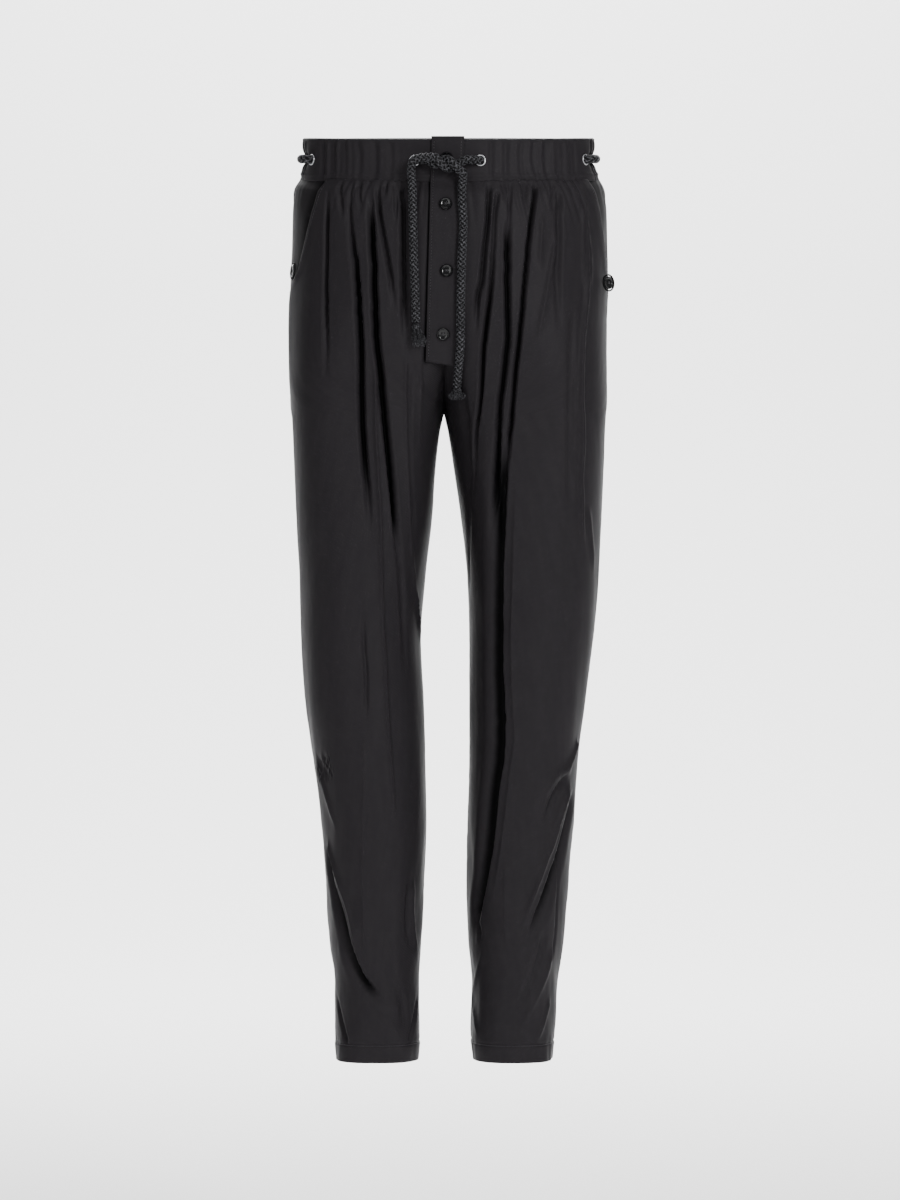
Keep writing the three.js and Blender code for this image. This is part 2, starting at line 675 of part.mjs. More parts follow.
/** The curve of one front end of the drawcord. */
function frontRoute({ before, phase, reversed, after }) {
  const base = atHeight(frontSkin, 0, KNOT.from[1], 0).point.y;
  const turned = knotTurn(phase, reversed).map(([x, z, out]) => new THREE.Vector3(x, base - out, z));
  const laid = (places) => places.map(([x, z, out]) => atHeight(frontSkin, x, z, out).point);
  return new THREE.CatmullRomCurve3([...laid(before), ...turned, ...laid(after)], false, "centripetal");
}

/** The curve of the cord outside the band, round the back from one side eyelet to the other. */
function backRoute() {
  const out = named(["forwards", "out"], [
    [25, -3], [25, 1], [24.4, 4.4], [21.5, 6.4], [17, 4.4], [12, 1.8], [6, 0.8], [0, 0.6],
    [-12, 0.6], [-25, 0.6], [-38, 0.6], [-52, 0.6], [-66, 0.6], [-80, 0.6],
  ]);
  const half = (side) => out.map((at) => {
    return skin(side, -THREE.MathUtils.degToRad(at.forwards), 0, at.out).point;
  });
  const points = [...half(-1), ...half(1).toReversed()];
  return new THREE.CatmullRomCurve3(points, false, "centripetal");
}

/** A plain tube along a cord's curve. */
function cordTube(curve, step) {
  const corners = Array.from({ length: CORD.sides }, (_, i) => {
    const angle = (2 * Math.PI * i) / CORD.sides;
    return new THREE.Vector2(CORD.radius * Math.cos(angle), CORD.radius * Math.sin(angle));
  });
  return new THREE.ExtrudeGeometry(new THREE.Shape(corners), {
    extrudePath: curve,
    steps: Math.min(80, Math.round(curve.getLength() / step)),
    curveSegments: 1,
    bevelEnabled: false,
  });
}

/** A tassel under a cord's end: a bound head with loose strands fused into it. */
function tassel({ head, strands, length, spread, lean }) {
  const ball = new THREE.SphereGeometry(head, 10, 7).scale(1, 1, 1.15);
  const locks = Array.from({ length: strands }, (_, i) => {
    const around = i * 2.4; // the golden angle spreads the strands evenly
    const away = Math.sqrt((i + 0.5) / strands);
    const long = length * (0.8 + 0.2 * Math.cos(i * 1.7));
    const lock = new THREE.ConeGeometry(0.95, long, 3).rotateX(-Math.PI / 2);
    const tip = new THREE.Vector3(
      lean + spread * away * Math.cos(around), -0.35 * spread * away * Math.abs(Math.sin(around)), -long,
    );
    const root = new THREE.Vector3(0.55 * head * away * Math.cos(around), 0.5 * head * away * Math.sin(around), -0.3 * head);
    const turn = new THREE.Quaternion().setFromUnitVectors(
      new THREE.Vector3(0, 0, -1), tip.clone().sub(root).normalize(),
    );
    return lock.translate(0, 0, -long / 2).applyMatrix4(
      new THREE.Matrix4().compose(root, turn, new THREE.Vector3(1, 1, 1)),
    );
  });
  return fused([ball, ...locks]);
}

// ---------------------------------------------------------------- assembly
const FINISH = {
  cloth: { color: 0x2a292b, roughness: 0.55, metalness: 0 },
  band: { color: 0x2b2b2d, roughness: 0.6, metalness: 0 },
  cord: { color: 0x202021, roughness: 0.8, metalness: 0 },
  button: { color: 0x141415, roughness: 0.2, metalness: 0 },
  metal: { color: 0xb9babd, roughness: 0.3, metalness: 1 },
};
const joggers = new THREE.Group();

/** Adds one named piece to the garment. */
function piece(name, geometry, finish, place) {
  const mesh = new THREE.Mesh(geometry, new THREE.MeshStandardMaterial(FINISH[finish]));
  mesh.name = name;
  if (place) mesh.applyMatrix4(place);
  joggers.add(mesh);
}

for (const [side, which] of [[-1, "right"], [1, "left"]]) {
  piece(`front_${which}`, panel(side, -1), "cloth");
  piece(`back_${which}`, panel(side, 1), "cloth");
  piece(`pocket_facing_${which}`, pocketFacing(side), "cloth");
}
piece("waistband", waistband(), "band");
piece("fly_placket", placket(), "cloth");
piece("drawcord_back", cordTube(backRoute(), CORD.longStep), "cord");

const BUTTON_STAND = 0.35; // under a button, over its sagging cloth
const FLY_BUTTONS = named(["x", "z"], [[-1, -12], [-2, -63], [-1, -136], [-4.6, -204.5]]);
FLY_BUTTONS.forEach(({ x, z }, i) => {
  const { point, normal } = atHeight(placketSkin, x, z, PLACKET.lift + CLOTH + BUTTON_STAND);
  piece(`fly_button_${i + 1}`, button(), "button", facing(point, normal));
});
const POCKET_BUTTONS = named(
  ["side", "degrees", "level", "tip"], // tip: how far the button tips towards the front
  [[-1, 18.5, -126.5, 0], [1, 20.5, -140.5, 25]],
);
const SAG = -0.55; // the cloth's long faces lie a little inside its true curve here
for (const { side, degrees, level, tip } of POCKET_BUTTONS) {
  const tipped = THREE.MathUtils.degToRad(tip);
  const out = SAG + (LOOP.radius + 0.8) * Math.sin(tipped);
  const { point, normal } = skin(side, -THREE.MathUtils.degToRad(degrees), level, out);
  normal.applyAxisAngle(new THREE.Vector3(0, 0, 1), -side * tipped);
  const which = side < 0 ? "right" : "left";
  piece(`pocket_button_${which}`, button(), "button", facing(point, normal));
  const around = point.clone().addScaledVector(normal, LOOP.stand - BUTTON_STAND);
  const loop = new THREE.TorusGeometry(LOOP.radius, LOOP.thickness, LOOP.sides, LOOP.steps);
  piece(`pocket_loop_${which}`, loop.rotateX(Math.PI / 2), "cord", facing(around, normal));
}
for (const { name, point, normal } of eyeletPlaces()) {
  piece(name, eyelet(), "metal", facing(point, normal));
}

const TASSELS = {
  drawcord_right: { head: 5.6, strands: 12, length: 11, spread: 4, lean: -1 },
  drawcord_left: { head: 4.4, strands: 13, length: 24, spread: 7.5, lean: 4.5 },
};
for (const [name, route] of Object.entries(ROUTES)) {
  const curve = frontRoute(route);
  const drop = TASSELS[name].head * 1.08 + GAP;
  const end = curve.getPoint(1).addScaledVector(curve.getTangent(1), drop);
  piece(name, cordTube(curve, CORD.step), "cord");
  piece(
    name.replace("drawcord", "tassel"), tassel(TASSELS[name]), "cord",
    new THREE.Matrix4().makeTranslation(end.x, end.y, end.z),
  );
}

export default joggers;
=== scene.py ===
"""Drawstring joggers of satin-faced twill, dressed in the hollow shape they take when worn.

The leg panels are thin shells on the garment's smooth form, with folds that run down from the
gathered waist. Sizes are millimetres in the classes and become metres in the meshes.
"""

from __future__ import annotations

import logging
import math
from collections.abc import Callable, Sequence
from dataclasses import dataclass, field
from enum import Enum, IntEnum

import bmesh
import bpy
import numpy as np
from mathutils import Matrix, Vector


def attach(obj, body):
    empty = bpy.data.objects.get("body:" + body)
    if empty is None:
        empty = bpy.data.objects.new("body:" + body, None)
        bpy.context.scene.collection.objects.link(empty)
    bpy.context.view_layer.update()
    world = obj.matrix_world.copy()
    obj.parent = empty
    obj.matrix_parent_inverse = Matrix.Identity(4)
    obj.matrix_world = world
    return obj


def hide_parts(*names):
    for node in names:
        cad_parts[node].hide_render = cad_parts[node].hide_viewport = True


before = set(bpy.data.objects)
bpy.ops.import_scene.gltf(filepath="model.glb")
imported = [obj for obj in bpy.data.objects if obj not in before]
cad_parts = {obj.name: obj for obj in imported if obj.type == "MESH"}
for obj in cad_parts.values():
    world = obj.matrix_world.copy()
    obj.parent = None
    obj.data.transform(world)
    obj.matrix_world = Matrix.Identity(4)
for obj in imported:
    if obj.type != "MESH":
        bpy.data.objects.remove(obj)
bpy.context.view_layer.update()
LOG = logging.getLogger("joggers")
MM = 0.001
Array = np.ndarray


class Side(IntEnum):
    """The wearer's side, as the sign of X."""

    RIGHT = -1
    LEFT = 1


class Face(IntEnum):
    """Which way a panel looks, as the sign of Y."""

    FRONT = -1
    BACK = 1


class Profile(Enum):
    """The cross-section of a fold."""

    SOFT = "soft"
    CRISP = "crisp"


# ------------------------------------------------------------------ small mathematics
def smooth(a: float | Array, b: float | Array, x: float | Array) -> Array:
    """A smooth step.

    Args:
        a: where the step is 0.
        b: where it is 1; it may be below a.
        x: where to read it.
    Returns:
        The step's height at x.
    """
    t = np.clip((np.asarray(x, float) - a) / (b - a), 0.0, 1.0)
    return t * t * (3 - 2 * t)


def hump(x: float | Array, width: float) -> Array:
    """A bell of height 1 at 0, which falls to 1/e a width away."""
    return np.exp(-((x / width) ** 2))


def run_along(points: Array) -> Array:
    """How far along a line each of its points lies."""
    return np.concatenate([[0], np.cumsum(np.linalg.norm(np.diff(points, axis=0), axis=1))])


class Through:
    """A curve through pairs of numbers that never overshoots between two of them."""

    def __init__(self, at: Sequence[float], value: Sequence[float]) -> None:
        """Sets the curve's points.

        Args:
            at: where the values stand, in any order.
            value: the values.
        """
        order = np.argsort(at)
        self.at = np.asarray(at, float)[order]
        self.value = np.asarray(value, float)[order]
        slope = np.diff(self.value) / np.diff(self.at)
        before = np.concatenate([slope[:1], slope])
        after = np.concatenate([slope, slope[-1:]])
        same = before * after > 0
        total = np.where(same, before + after, 1.0)
        self.tangent = np.where(same, 2 * before * after / total, 0.0)

    def __call__(self, x: float | Array) -> Array:
        """The curve's value at x."""
        x = np.clip(np.asarray(x, float), self.at[0], self.at[-1])
        k = np.clip(np.searchsorted(self.at, x, side="right") - 1, 0, len(self.at) - 2)
        span = self.at[k + 1] - self.at[k]
        t = (x - self.at[k]) / span
        return (
            self.value[k] * (1 + 2 * t) * (1 - t) ** 2
            + self.value[k + 1] * t * t * (3 - 2 * t)
            + self.tangent[k] * span * t * (1 - t) ** 2
            - self.tangent[k + 1] * span * t * t * (1 - t)
        )


class Ripple:
    """Smooth seeded unevenness over a surface, between -1 and 1."""

    def __init__(self, seed: int, across: float, along: float) -> None:
        """Sets the pattern.

        Args:
            seed: the seed of its lattice.
            across: the size of a cell across the cloth, in millimetres.
            along: the size of a cell along it.
        """
        self.across, self.along = across, along
        self.lattice = np.random.default_rng(seed).uniform(-1, 1, (64, 64))

    def __call__(self, s: Array, z: Array) -> Array:
        """The ripple's height at places s across and z along, in millimetres."""
        a, b = s / self.across + 7.3, z / self.along + 11.9
        i, j = np.floor(a).astype(int), np.floor(b).astype(int)
        u, v = a - i, b - j
        u, v = u * u * (3 - 2 * u), v * v * (3 - 2 * v)

        def corner(di: int, dj: int) -> Array:
            """The lattice's value at one corner of each cell."""
            return self.lattice[(i + di) % 64, (j + dj) % 64]

        low = corner(0, 0) * (1 - u) + corner(1, 0) * u
        high = corner(0, 1) * (1 - u) + corner(1, 1) * u
        return low * (1 - v) + high * v


def rounded_curve(points: Sequence[Sequence[float]], step: float) -> Array:
    """A centripetal Catmull-Rom curve through points.

    Args:
        points: the places that it passes, in millimetres.
        step: the distance between the points that come back.
    Returns:
        Points evenly spaced along it, one a row.
    """
    p = np.asarray(points, float)
    p = np.vstack([2 * p[0] - p[1], p, 2 * p[-1] - p[-2]])
    knots = np.concatenate([[0], np.cumsum(np.linalg.norm(np.diff(p, axis=0), axis=1) ** 0.5)])
    fine = []
    for k in range(1, len(p) - 2):
        t0, t1, t2, t3 = knots[k - 1 : k + 3]
        t = np.linspace(t1, t2, 24, endpoint=False)[:, None]
        a1 = (t1 - t) / (t1 - t0) * p[k - 1] + (t - t0) / (t1 - t0) * p[k]
        a2 = (t2 - t) / (t2 - t1) * p[k] + (t - t1) / (t2 - t1) * p[k + 1]
        a3 = (t3 - t) / (t3 - t2) * p[k + 1] + (t - t2) / (t3 - t2) * p[k + 2]
        b1 = (t2 - t) / (t2 - t0) * a1 + (t - t0) / (t2 - t0) * a2
        b2 = (t3 - t) / (t3 - t1) * a2 + (t - t1) / (t3 - t1) * a3
        fine.append((t2 - t) / (t2 - t1) * b1 + (t - t1) / (t2 - t1) * b2)
    line = np.vstack([*fine, p[-2][None]])
    far = run_along(line)
    even = np.linspace(0, far[-1], max(3, round(far[-1] / step)))
    return np.stack([np.interp(even, far, line[:, k]) for k in range(3)], axis=1)


# ------------------------------------------------------------------ the garment's form
@dataclass(frozen=True)
class Section:
    """One level of the garment: its outline from the front and the side, in millimetres."""

    level: float
    outer_right: float
    inner_right: float
    inner_left: float
    outer_left: float
    front: float
    back: float
    square: float


SECTIONS = (
    Section(26, 163, 0, 0, 165, 111, 112, 2.15),
    Section(-11, 164, 0, 0, 167, 113, 115, 2.15),
    Section(-22.5, 166, 0, 0, 171, 114, 117, 2.15),
    Section(-34, 171, 0, 0, 175, 118, 121, 2.15),
    Section(-60, 174, 0, 0, 179, 122, 126, 2.2),
    Section(-101, 175, 1, -1, 180, 125, 132, 2.25),
    Section(-139, 177, 1, -1, 181, 126, 138, 2.35),
    Section(-191, 179, 2, -2, 179, 124, 142, 2.6),
    Section(-247, 178, 3, -3, 179, 119, 141, 2.9),
    Section(-289, 175, 4, -4, 178, 114, 135, 2.9),
    Section(-304, 174, 7, -1, 177, 113, 133, 2.85),
    Section(-354, 172, 13, 7, 175, 110, 127, 2.6),
    Section(-405, 170, 17, 15, 173, 107, 120, 2.4),
    Section(-472, 166, 25, 22, 170, 102, 111, 2.25),
    Section(-540, 164, 30, 24, 164, 97, 103, 2.2),
    Section(-607, 160, 27, 24, 155, 92, 96, 2.2),
    Section(-674, 151, 25, 24, 146, 86, 89, 2.15),
    Section(-742, 142, 24, 22, 142, 79, 85, 2.15),
    Section(-809, 137, 26, 21, 136, 71, 82, 2.1),
    Section(-877, 133, 29, 23, 130, 63, 79, 2.1),
    Section(-927, 126, 32, 27, 124, 57, 75, 2.1),
    Section(-989, 126, 31, 26, 120, 53, 70, 2.45),
    Section(-1010.5, 124, 33, 28, 118, 52, 69, 2.7),
)


@dataclass(frozen=True)
class Ring:
    """One half's cross-section at each of some levels: a squarish ellipse, open at its inner end."""

    centre: Array
    half: Array
    middle: Array
    depth: Array
    square: Array
    open: Array


@dataclass
class Form:
    """The smooth hollow body that all the cloth lies on."""

    waist_top: float = 26
    waist_seam: float = -22.5
    parting: float = -70
    crotch: float = -289
    hem: float = -1010.5
    tilt: float = 0.125
    tilt_ends: float = -240
    curves: dict[str, Through] = field(default_factory=dict)

    def __post_init__(self) -> None:
        """Makes a curve of each of the sections' sizes."""
        levels = [s.level for s in SECTIONS]
        for name in Section.__dataclass_fields__:
            self.curves[name] = Through(levels, [getattr(s, name) for s in SECTIONS])

    def ring(self, side: Side, level: Array) -> Ring:
        """The cross-sections of one half of the garment at some levels."""
        word = "right" if side < 0 else "left"
        outer, inner = self.curves[f"outer_{word}"](level), self.curves[f"inner_{word}"](level)
        front, back = self.curves["front"](level), self.curves["back"](level)
        n = self.curves["square"](level)
        half = (outer - inner) * (1 - 0.5 * smooth(self.parting, self.crotch, level))
        parted = np.minimum(1.0, (outer - inner) / half - 1)
        opened = np.arctan2((1 - parted**n) ** (1 / n), -parted)
        return Ring(outer - half, half, (back - front) / 2, (back + front) / 2, n, opened)

    def point(self, side: Side, angle: Array, level: Array) -> Array:
        """Points of the form.

        Args:
            side: which half.
            angle: 0 at the side seam, negative to the front.
            level: the height before the waist's tilt.
        Returns:
            Points, with X, Y and Z on the last axis.
        """
        angle, level = np.broadcast_arrays(np.asarray(angle, float), np.asarray(level, float))
        r = self.ring(side, level)
        cos, sin = np.cos(angle), np.sin(angle)
        reach = (np.abs(cos) ** r.square + np.abs(sin) ** r.square) ** (-1 / r.square)
        y = r.middle + r.depth * reach * sin
        rise = self.tilt * y * smooth(self.tilt_ends, self.waist_seam, level)
        return np.stack([side * (r.centre + r.half * reach * cos), y, level + rise], axis=-1)

    def normal(self, side: Side, angle: Array, level: Array) -> Array:
        """The form's outward normals at some points."""
        turn, rise = 1e-3, 0.5
        along = self.point(side, angle + turn, level) - self.point(side, angle - turn, level)
        up = self.point(side, angle, level + rise) - self.point(side, angle, level - rise)
        normal = side * np.cross(along, up)
        return normal / np.linalg.norm(normal, axis=-1, keepdims=True)

    def skin(self, side: Side, angle: Array, level: Array, out: Array | float = 0) -> tuple[Array, Array]:
        """Points moved out along their normals, and the normals."""
        normal = self.normal(side, angle, level)
        return self.point(side, angle, level) + normal * np.asarray(out)[..., None], normal

    def angle_at(self, side: Side, face: Face, level: Array, distance: Array) -> Array:
        """The angle on a face at a distance from the centre."""
        r = self.ring(side, level)
        across = np.clip((distance - r.centre) / r.half, -1, 1)
        return face * np.arctan2((1 - np.abs(across) ** r.square) ** (1 / r.square), across)

    def front(self, x: Array | float, level: Array | float, out: Array | float = 0) -> tuple[Array, Array]:
        """Points and normals on the front by their distance x from the centre."""
        x, level = np.broadcast_arrays(np.asarray(x, float), np.asarray(level, float))
        out = np.broadcast_to(np.asarray(out, float), x.shape)
        halves = [self.skin(s, self.angle_at(s, Face.FRONT, level, np.abs(x)), level, out) for s in Side]
        left = (x >= 0)[..., None]
        return tuple(np.where(left, halves[1][k], halves[0][k]) for k in range(2))


def at_height(place: Callable, x: float, z: float, out: float) -> tuple[Array, Array]:
    """A point of the front by its height, which the waist's tilt sets apart from its level.

    Args:
        place: Form.front or Placket.surface.
        x: the distance from the centre.
        z: the height.
        out: how far out from the surface.
    Returns:
        The point and its normal.
    """
    level = z
    for _ in range(6):
        level += z - float(place(x, level, 0)[0][..., 2])
    return place(x, level, out)


# ------------------------------------------------------------------ meshes
def grid_piece(
    name: str, columns: int, rows: int, place: Callable, outward: Array | None = None
) -> bpy.types.Object:
    """A sheet of quads laid out by a function.

    Args:
        name: the piece's name.
        columns: faces across.
        rows: faces down.
        place: from grids of u (across) and v (down), 0 to 1, gives points and cloth places, in mm,
        and maybe each point's share of painted shade, from 0 to 1.
        outward: the way its first face should look, if that is to be put right.
    Returns:
        The new object, with a UV map in metres named cloth.
    """
    bm = bmesh.new()
    bmesh.ops.create_grid(bm, x_segments=columns, y_segments=rows, size=0.5)
    mesh = bpy.data.meshes.new(name)
    bm.to_mesh(mesh)
    bm.free()
    co = np.empty(len(mesh.vertices) * 3)
    mesh.vertices.foreach_get("co", co)
    co = co.reshape(-1, 3)
    spread = co[:, :2].max(axis=0) - co[:, :2].min(axis=0)
    u, v = (co[:, 0] / spread[0] + 0.5), (0.5 - co[:, 1] / spread[1])
    iu, iv = np.rint(u * columns).astype(int), np.rint(v * rows).astype(int)
    grid_u, grid_v = np.meshgrid(np.linspace(0, 1, columns + 1), np.linspace(0, 1, rows + 1))
    points, flat, *depth = place(grid_u, grid_v)
    mesh.vertices.foreach_set("co", (points[iv, iu] * MM).ravel())
    loops = np.empty(len(mesh.loops), dtype=int)
    mesh.loops.foreach_get("vertex_index", loops)
    layer = mesh.uv_layers.new(name="cloth")
    layer.data.foreach_set("uv", (flat[iv, iu] * MM)[loops].ravel())
    mesh.update()
    middle = mesh.polygons[(rows // 2) * columns + columns // 2]
    if outward is not None and middle.normal.dot(Vector(outward)) < 0:
        mesh.flip_normals()
    obj = add_object(name, mesh)
    # the share of painted shade, which the cloth's finish mixes into its colour
    if depth:
        note(obj, "hollow", depth[0][iv, iu])
    return obj


def add_object(name: str, mesh: bpy.types.Mesh) -> bpy.types.Object:
    """Puts a mesh in the scene as a smooth shaded object that rides on the garment."""
    mesh.polygons.foreach_set("use_smooth", [True] * len(mesh.polygons))
    obj = bpy.data.objects.new(name, mesh)
    bpy.context.scene.collection.objects.link(obj)
    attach(obj, "root")
    return obj


def sort_parts(bm: bmesh.types.BMesh) -> None:
    """Orders a bmesh by place, since Blender's spin and extrude leave another order at each run."""
    rank = {v: i for i, v in enumerate(sorted(bm.verts, key=lambda v: v.co[:]))}
    bm.verts.sort(key=rank.get)
    for parts in (bm.edges, bm.faces):
        rank_of = {part: sorted(rank[v] for v in part.verts) for part in parts}
        place = {part: i for i, part in enumerate(sorted(parts, key=rank_of.get))}
        parts.sort(key=place.get)


def add_bmesh(name: str, bm: bmesh.types.BMesh) -> bpy.types.Object:
    """Puts a finished bmesh in the scene."""
    sort_parts(bm)
    mesh = bpy.data.meshes.new(name)
    bm.to_mesh(mesh)
    bm.free()
    return add_object(name, mesh)


def dress(obj: bpy.types.Object, finish: bpy.types.Material, node: str) -> None:
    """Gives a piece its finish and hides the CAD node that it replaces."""
    obj.data.materials.append(finish)
    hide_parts(node)


def thicken(obj: bpy.types.Object, thickness: float) -> None:
    """Gives a sheet its thickness, in millimetres, inwards."""
    solid = obj.modifiers.new("cloth thickness", "SOLIDIFY")
    solid.thickness = thickness * MM
    solid.offset = -1
    solid.use_rim = True


def places_of(obj: bpy.types.Object) -> Array:
    """Every vertex of a piece, in millimetres."""
    at = np.empty(len(obj.data.vertices) * 3)
    obj.data.vertices.foreach_get("co", at)
    return at.reshape(-1, 3) / MM


def note(obj: bpy.types.Object, name: str, values: Array) -> None:
    """Writes one number on every vertex of a piece, for its finish to read."""
    obj.data.attributes.new(name, "FLOAT", "POINT").data.foreach_set("value", values)


def relief_of(points: Array, path: Array) -> Array:
    """How far points stand off a path, from 0 for the nearest to 1 for the furthest."""
    parts = np.array_split(points, 40)
    squares = [((part[:, None] - path[None]) ** 2).sum(axis=-1).min(axis=1) for part in parts]
    off = np.sqrt(np.concatenate(squares))
    low, high = np.percentile(off, (2, 98))
    return np.clip((off - low) / max(high - low, 1e-6), 0, 1)


def tube_piece(name: str, path: Array, radius: Callable, around: int) -> bpy.types.Object:
    """A closed tube along a path.

    Args:
        name: the piece's name.
        path: evenly spaced points, in mm.
        radius: from the angle round the tube and the distance along it, gives the radius in mm.
        around: faces round it.
    Returns:
        The new object.
    """
    far = run_along(path)
    tangent = np.gradient(path, axis=0)
    tangent /= np.linalg.norm(tangent, axis=1, keepdims=True)
    side = np.cross(tangent[0], [0.3, -1, 0.2])
    sides = []
    for t in tangent:
        side = side - t * side.dot(t)
        side = side / np.linalg.norm(side)
        sides.append(side)
    first = np.array(sides)
    second = np.cross(tangent, first)

    def place(u: Array, v: Array) -> tuple[Array, Array]:
        """Wraps the sheet round the path."""
        angle = 2 * math.pi * u
        row = np.rint(v * (len(path) - 1)).astype(int)
        r = radius(angle, far[row])[..., None]
        spoke = np.cos(angle)[..., None] * first[row] + np.sin(angle)[..., None] * second[row]
        return path[row] + r * spoke, np.stack([angle * float(r.mean()), far[row]], axis=-1)

    obj = grid_piece(name, around, len(path) - 1, place)
    # how far each point stands out, which the cord's finish uses to paint highlight on the crowns
    note(obj, "height", relief_of(places_of(obj), path))
    bm = bmesh.new()
    bm.from_mesh(obj.data)
    bmesh.ops.remove_doubles(bm, verts=bm.verts, dist=1e-6)
    bmesh.ops.holes_fill(bm, edges=[e for e in bm.edges if e.is_boundary], sides=0)
    bmesh.ops.recalc_face_normals(bm, faces=bm.faces)
    bm.to_mesh(obj.data)
    bm.free()
    return obj


# ------------------------------------------------------------------ finishes
def linear(code: str) -> tuple[float, float, float, float]:
    """A colour written as six sRGB hex digits, as linear light."""
    parts = [int(code[i : i + 2], 16) / 255 for i in (0, 2, 4)]
    return (*(c / 12.92 if c <= 0.04045 else ((c + 0.055) / 1.055) ** 2.4 for c in parts), 1.0)


class Recipe:
    """A new material and its nodes."""

    def __init__(self, name: str) -> None:
        """Makes a material with an empty tree."""
        self.material = bpy.data.materials.new(name)
        self.material.use_nodes = True
        self.tree = self.material.node_tree
        self.tree.nodes.clear()

    def add(
        self, kind: str, settings: dict | None = None, links: dict | None = None, gives: str | int = 0
    ) -> bpy.types.NodeSocket:
        """Adds a node.

        Args:
            kind: the node's type, without ShaderNode.
            settings: its properties, and its inputs' values by name or number.
            links: which output each of its inputs reads.
            gives: the name or number of the output that is wanted.
        Returns:
            That output.
        """
        node = self.tree.nodes.new(f"ShaderNode{kind}")
        for key, value in (settings or {}).items():
            if isinstance(key, str) and hasattr(node, key):
                setattr(node, key, value)
            else:
                node.inputs[key].default_value = value
        for key, output in (links or {}).items():
            self.tree.links.new(output, node.inputs[key])
        return node.outputs[gives]

    def noise(self, settings: dict, place: bpy.types.NodeSocket | None = None) -> bpy.types.NodeSocket:
        """A noise pattern on the piece's own coordinates, or on those given."""
        place = place or self.add("TexCoord", gives="Object")
        return self.add("TexNoise", settings, {"Vector": place}, "Fac")

    def blend(self, share: bpy.types.NodeSocket, low: str, high: str) -> bpy.types.NodeSocket:
        """Mixes two colours, written as hex digits, by a share."""
        return self.add("Mix", {"data_type": "RGBA", 6: linear(low), 7: linear(high)}, {0: share}, 2)


@dataclass(frozen=True)
class Finish:
    """A material: one Principled shader and the patterns that it reads."""

    name: str
    colour: str

    def shade(self, recipe: Recipe) -> tuple[dict, dict]:
        """Sets out the shader.

        Args:
            recipe: the material's nodes, to which the patterns are added.
        Returns:
            The shader's own values, and the outputs that its inputs read.
        """
        raise NotImplementedError

    def build(self) -> bpy.types.Material:
        """Makes the material."""
        recipe = Recipe(self.name)
        shader = recipe.add("BsdfPrincipled", *self.shade(recipe))
        output = recipe.tree.nodes.new("ShaderNodeOutputMaterial")
        recipe.tree.links.new(shader, output.inputs["Surface"])
        return recipe.material


@dataclass(frozen=True)
class SatinTwill(Finish):
    """Viscose twill with a satin face: dark and soft, with a broad silky gleam along each fold."""

    name: str = "satin_twill"
    colour: str = "222023"
    worn: str = "292729"
    # painted shade: the colour of the cloth in deep troughs, beside the placket and in the pocket facings
    shaded: str = "040405"
    roughness: float = 0.5
    twill_mm: float = 1.3  # the real rib is 0.5 mm; it is drawn coarser so that it shows
    twill_degrees: float = 63
    slub_mm: float = 9.0
    slub_length: float = 0.22  # as a share of its scale across

    def shade(self, recipe: Recipe) -> tuple[dict, dict]:
        """Sets out the shader; see Finish."""
        uv = recipe.add("UVMap", {"uv_map": "cloth"})
        turned = recipe.add("Mapping", {"Rotation": (0, 0, math.radians(self.twill_degrees))}, {"Vector": uv})
        rib = recipe.add(
            "TexWave",
            {"wave_type": "BANDS", "bands_direction": "X", "Scale": 1 / (self.twill_mm * MM) / 20 * 3.18,
             "Distortion": 0.6, "Detail": 1.0, "Detail Scale": 2.0},
            {"Vector": turned}, "Fac",
        )
        scale = 1 / (self.slub_mm * MM)
        drawn = recipe.add("Mapping", {"Scale": (scale, scale * self.slub_length, 1)}, {"Vector": uv})
        slub = recipe.noise({"Scale": 1.0, "Detail": 4.0, "Roughness": 0.6}, drawn)
        cloud = recipe.noise({"Scale": 9.0, "Detail": 3.0})
        tone = recipe.blend(slub, self.colour, self.worn)
        # painted shade: the hollow note darkens the colour towards the shaded one
        hollow = recipe.add("Attribute", {"attribute_name": "hollow"}, gives="Fac")
        tone = recipe.add("Mix", {"data_type": "RGBA", 7: linear(self.shaded)}, {0: hollow, 6: tone}, 2)
        limits = {"To Min": self.roughness - 0.05, "To Max": self.roughness + 0.06}
        rough = recipe.add("MapRange", limits, {"Value": cloud})
        fine = recipe.add("Bump", {"Strength": 0.16, "Distance": 0.0003}, {"Height": rib})
        crumple = recipe.add("Bump", {"Strength": 0.22, "Distance": 0.0009}, {"Height": slub, "Normal": fine})
        return (
            {"IOR": 1.45, "Specular IOR Level": 0.05},
            {"Base Color": tone, "Roughness": rough, "Normal": crumple},
        )


@dataclass(frozen=True)
class BraidedCotton(Finish):
    """Dyed cotton braid: black and matt, with pale fibre specks painted only where it stands out: painted
    highlight, with painted shade in its grooves.
    """

    name: str = "braided_cotton"
    colour: str = "030304"
    # the pale speck colour: real fibre specks, painted on the crowns as highlight
    fuzz: str = "5c5c60"
    fibre_mm: float = 1.5

    def shade(self, recipe: Recipe) -> tuple[dict, dict]:
        """Sets out the shader; see Finish."""
        fibre = recipe.noise({"Scale": 1 / (self.fibre_mm * MM), "Detail": 3.0})
        height = recipe.add("Attribute", {"attribute_name": "height"}, gives="Fac")
        speck = recipe.add("MapRange", {"From Min": 0.4, "From Max": 0.66, "To Min": 0.12}, {"Value": fibre})
        crown = recipe.add("MapRange", {"From Min": 0.4, "From Max": 1.0}, {"Value": height})
        # painted highlight: the pale specks show only on the raised crowns, so the grooves keep painted shade
        lit = recipe.add("Math", {"operation": "MULTIPLY"}, {0: speck, 1: crown})
        bump = recipe.add("Bump", {"Strength": 0.5, "Distance": 0.0003}, {"Height": fibre})
        return (
            {"Roughness": 0.65, "Specular IOR Level": 0.14},
            {"Base Color": recipe.blend(lit, self.colour, self.fuzz), "Normal": bump},
        )


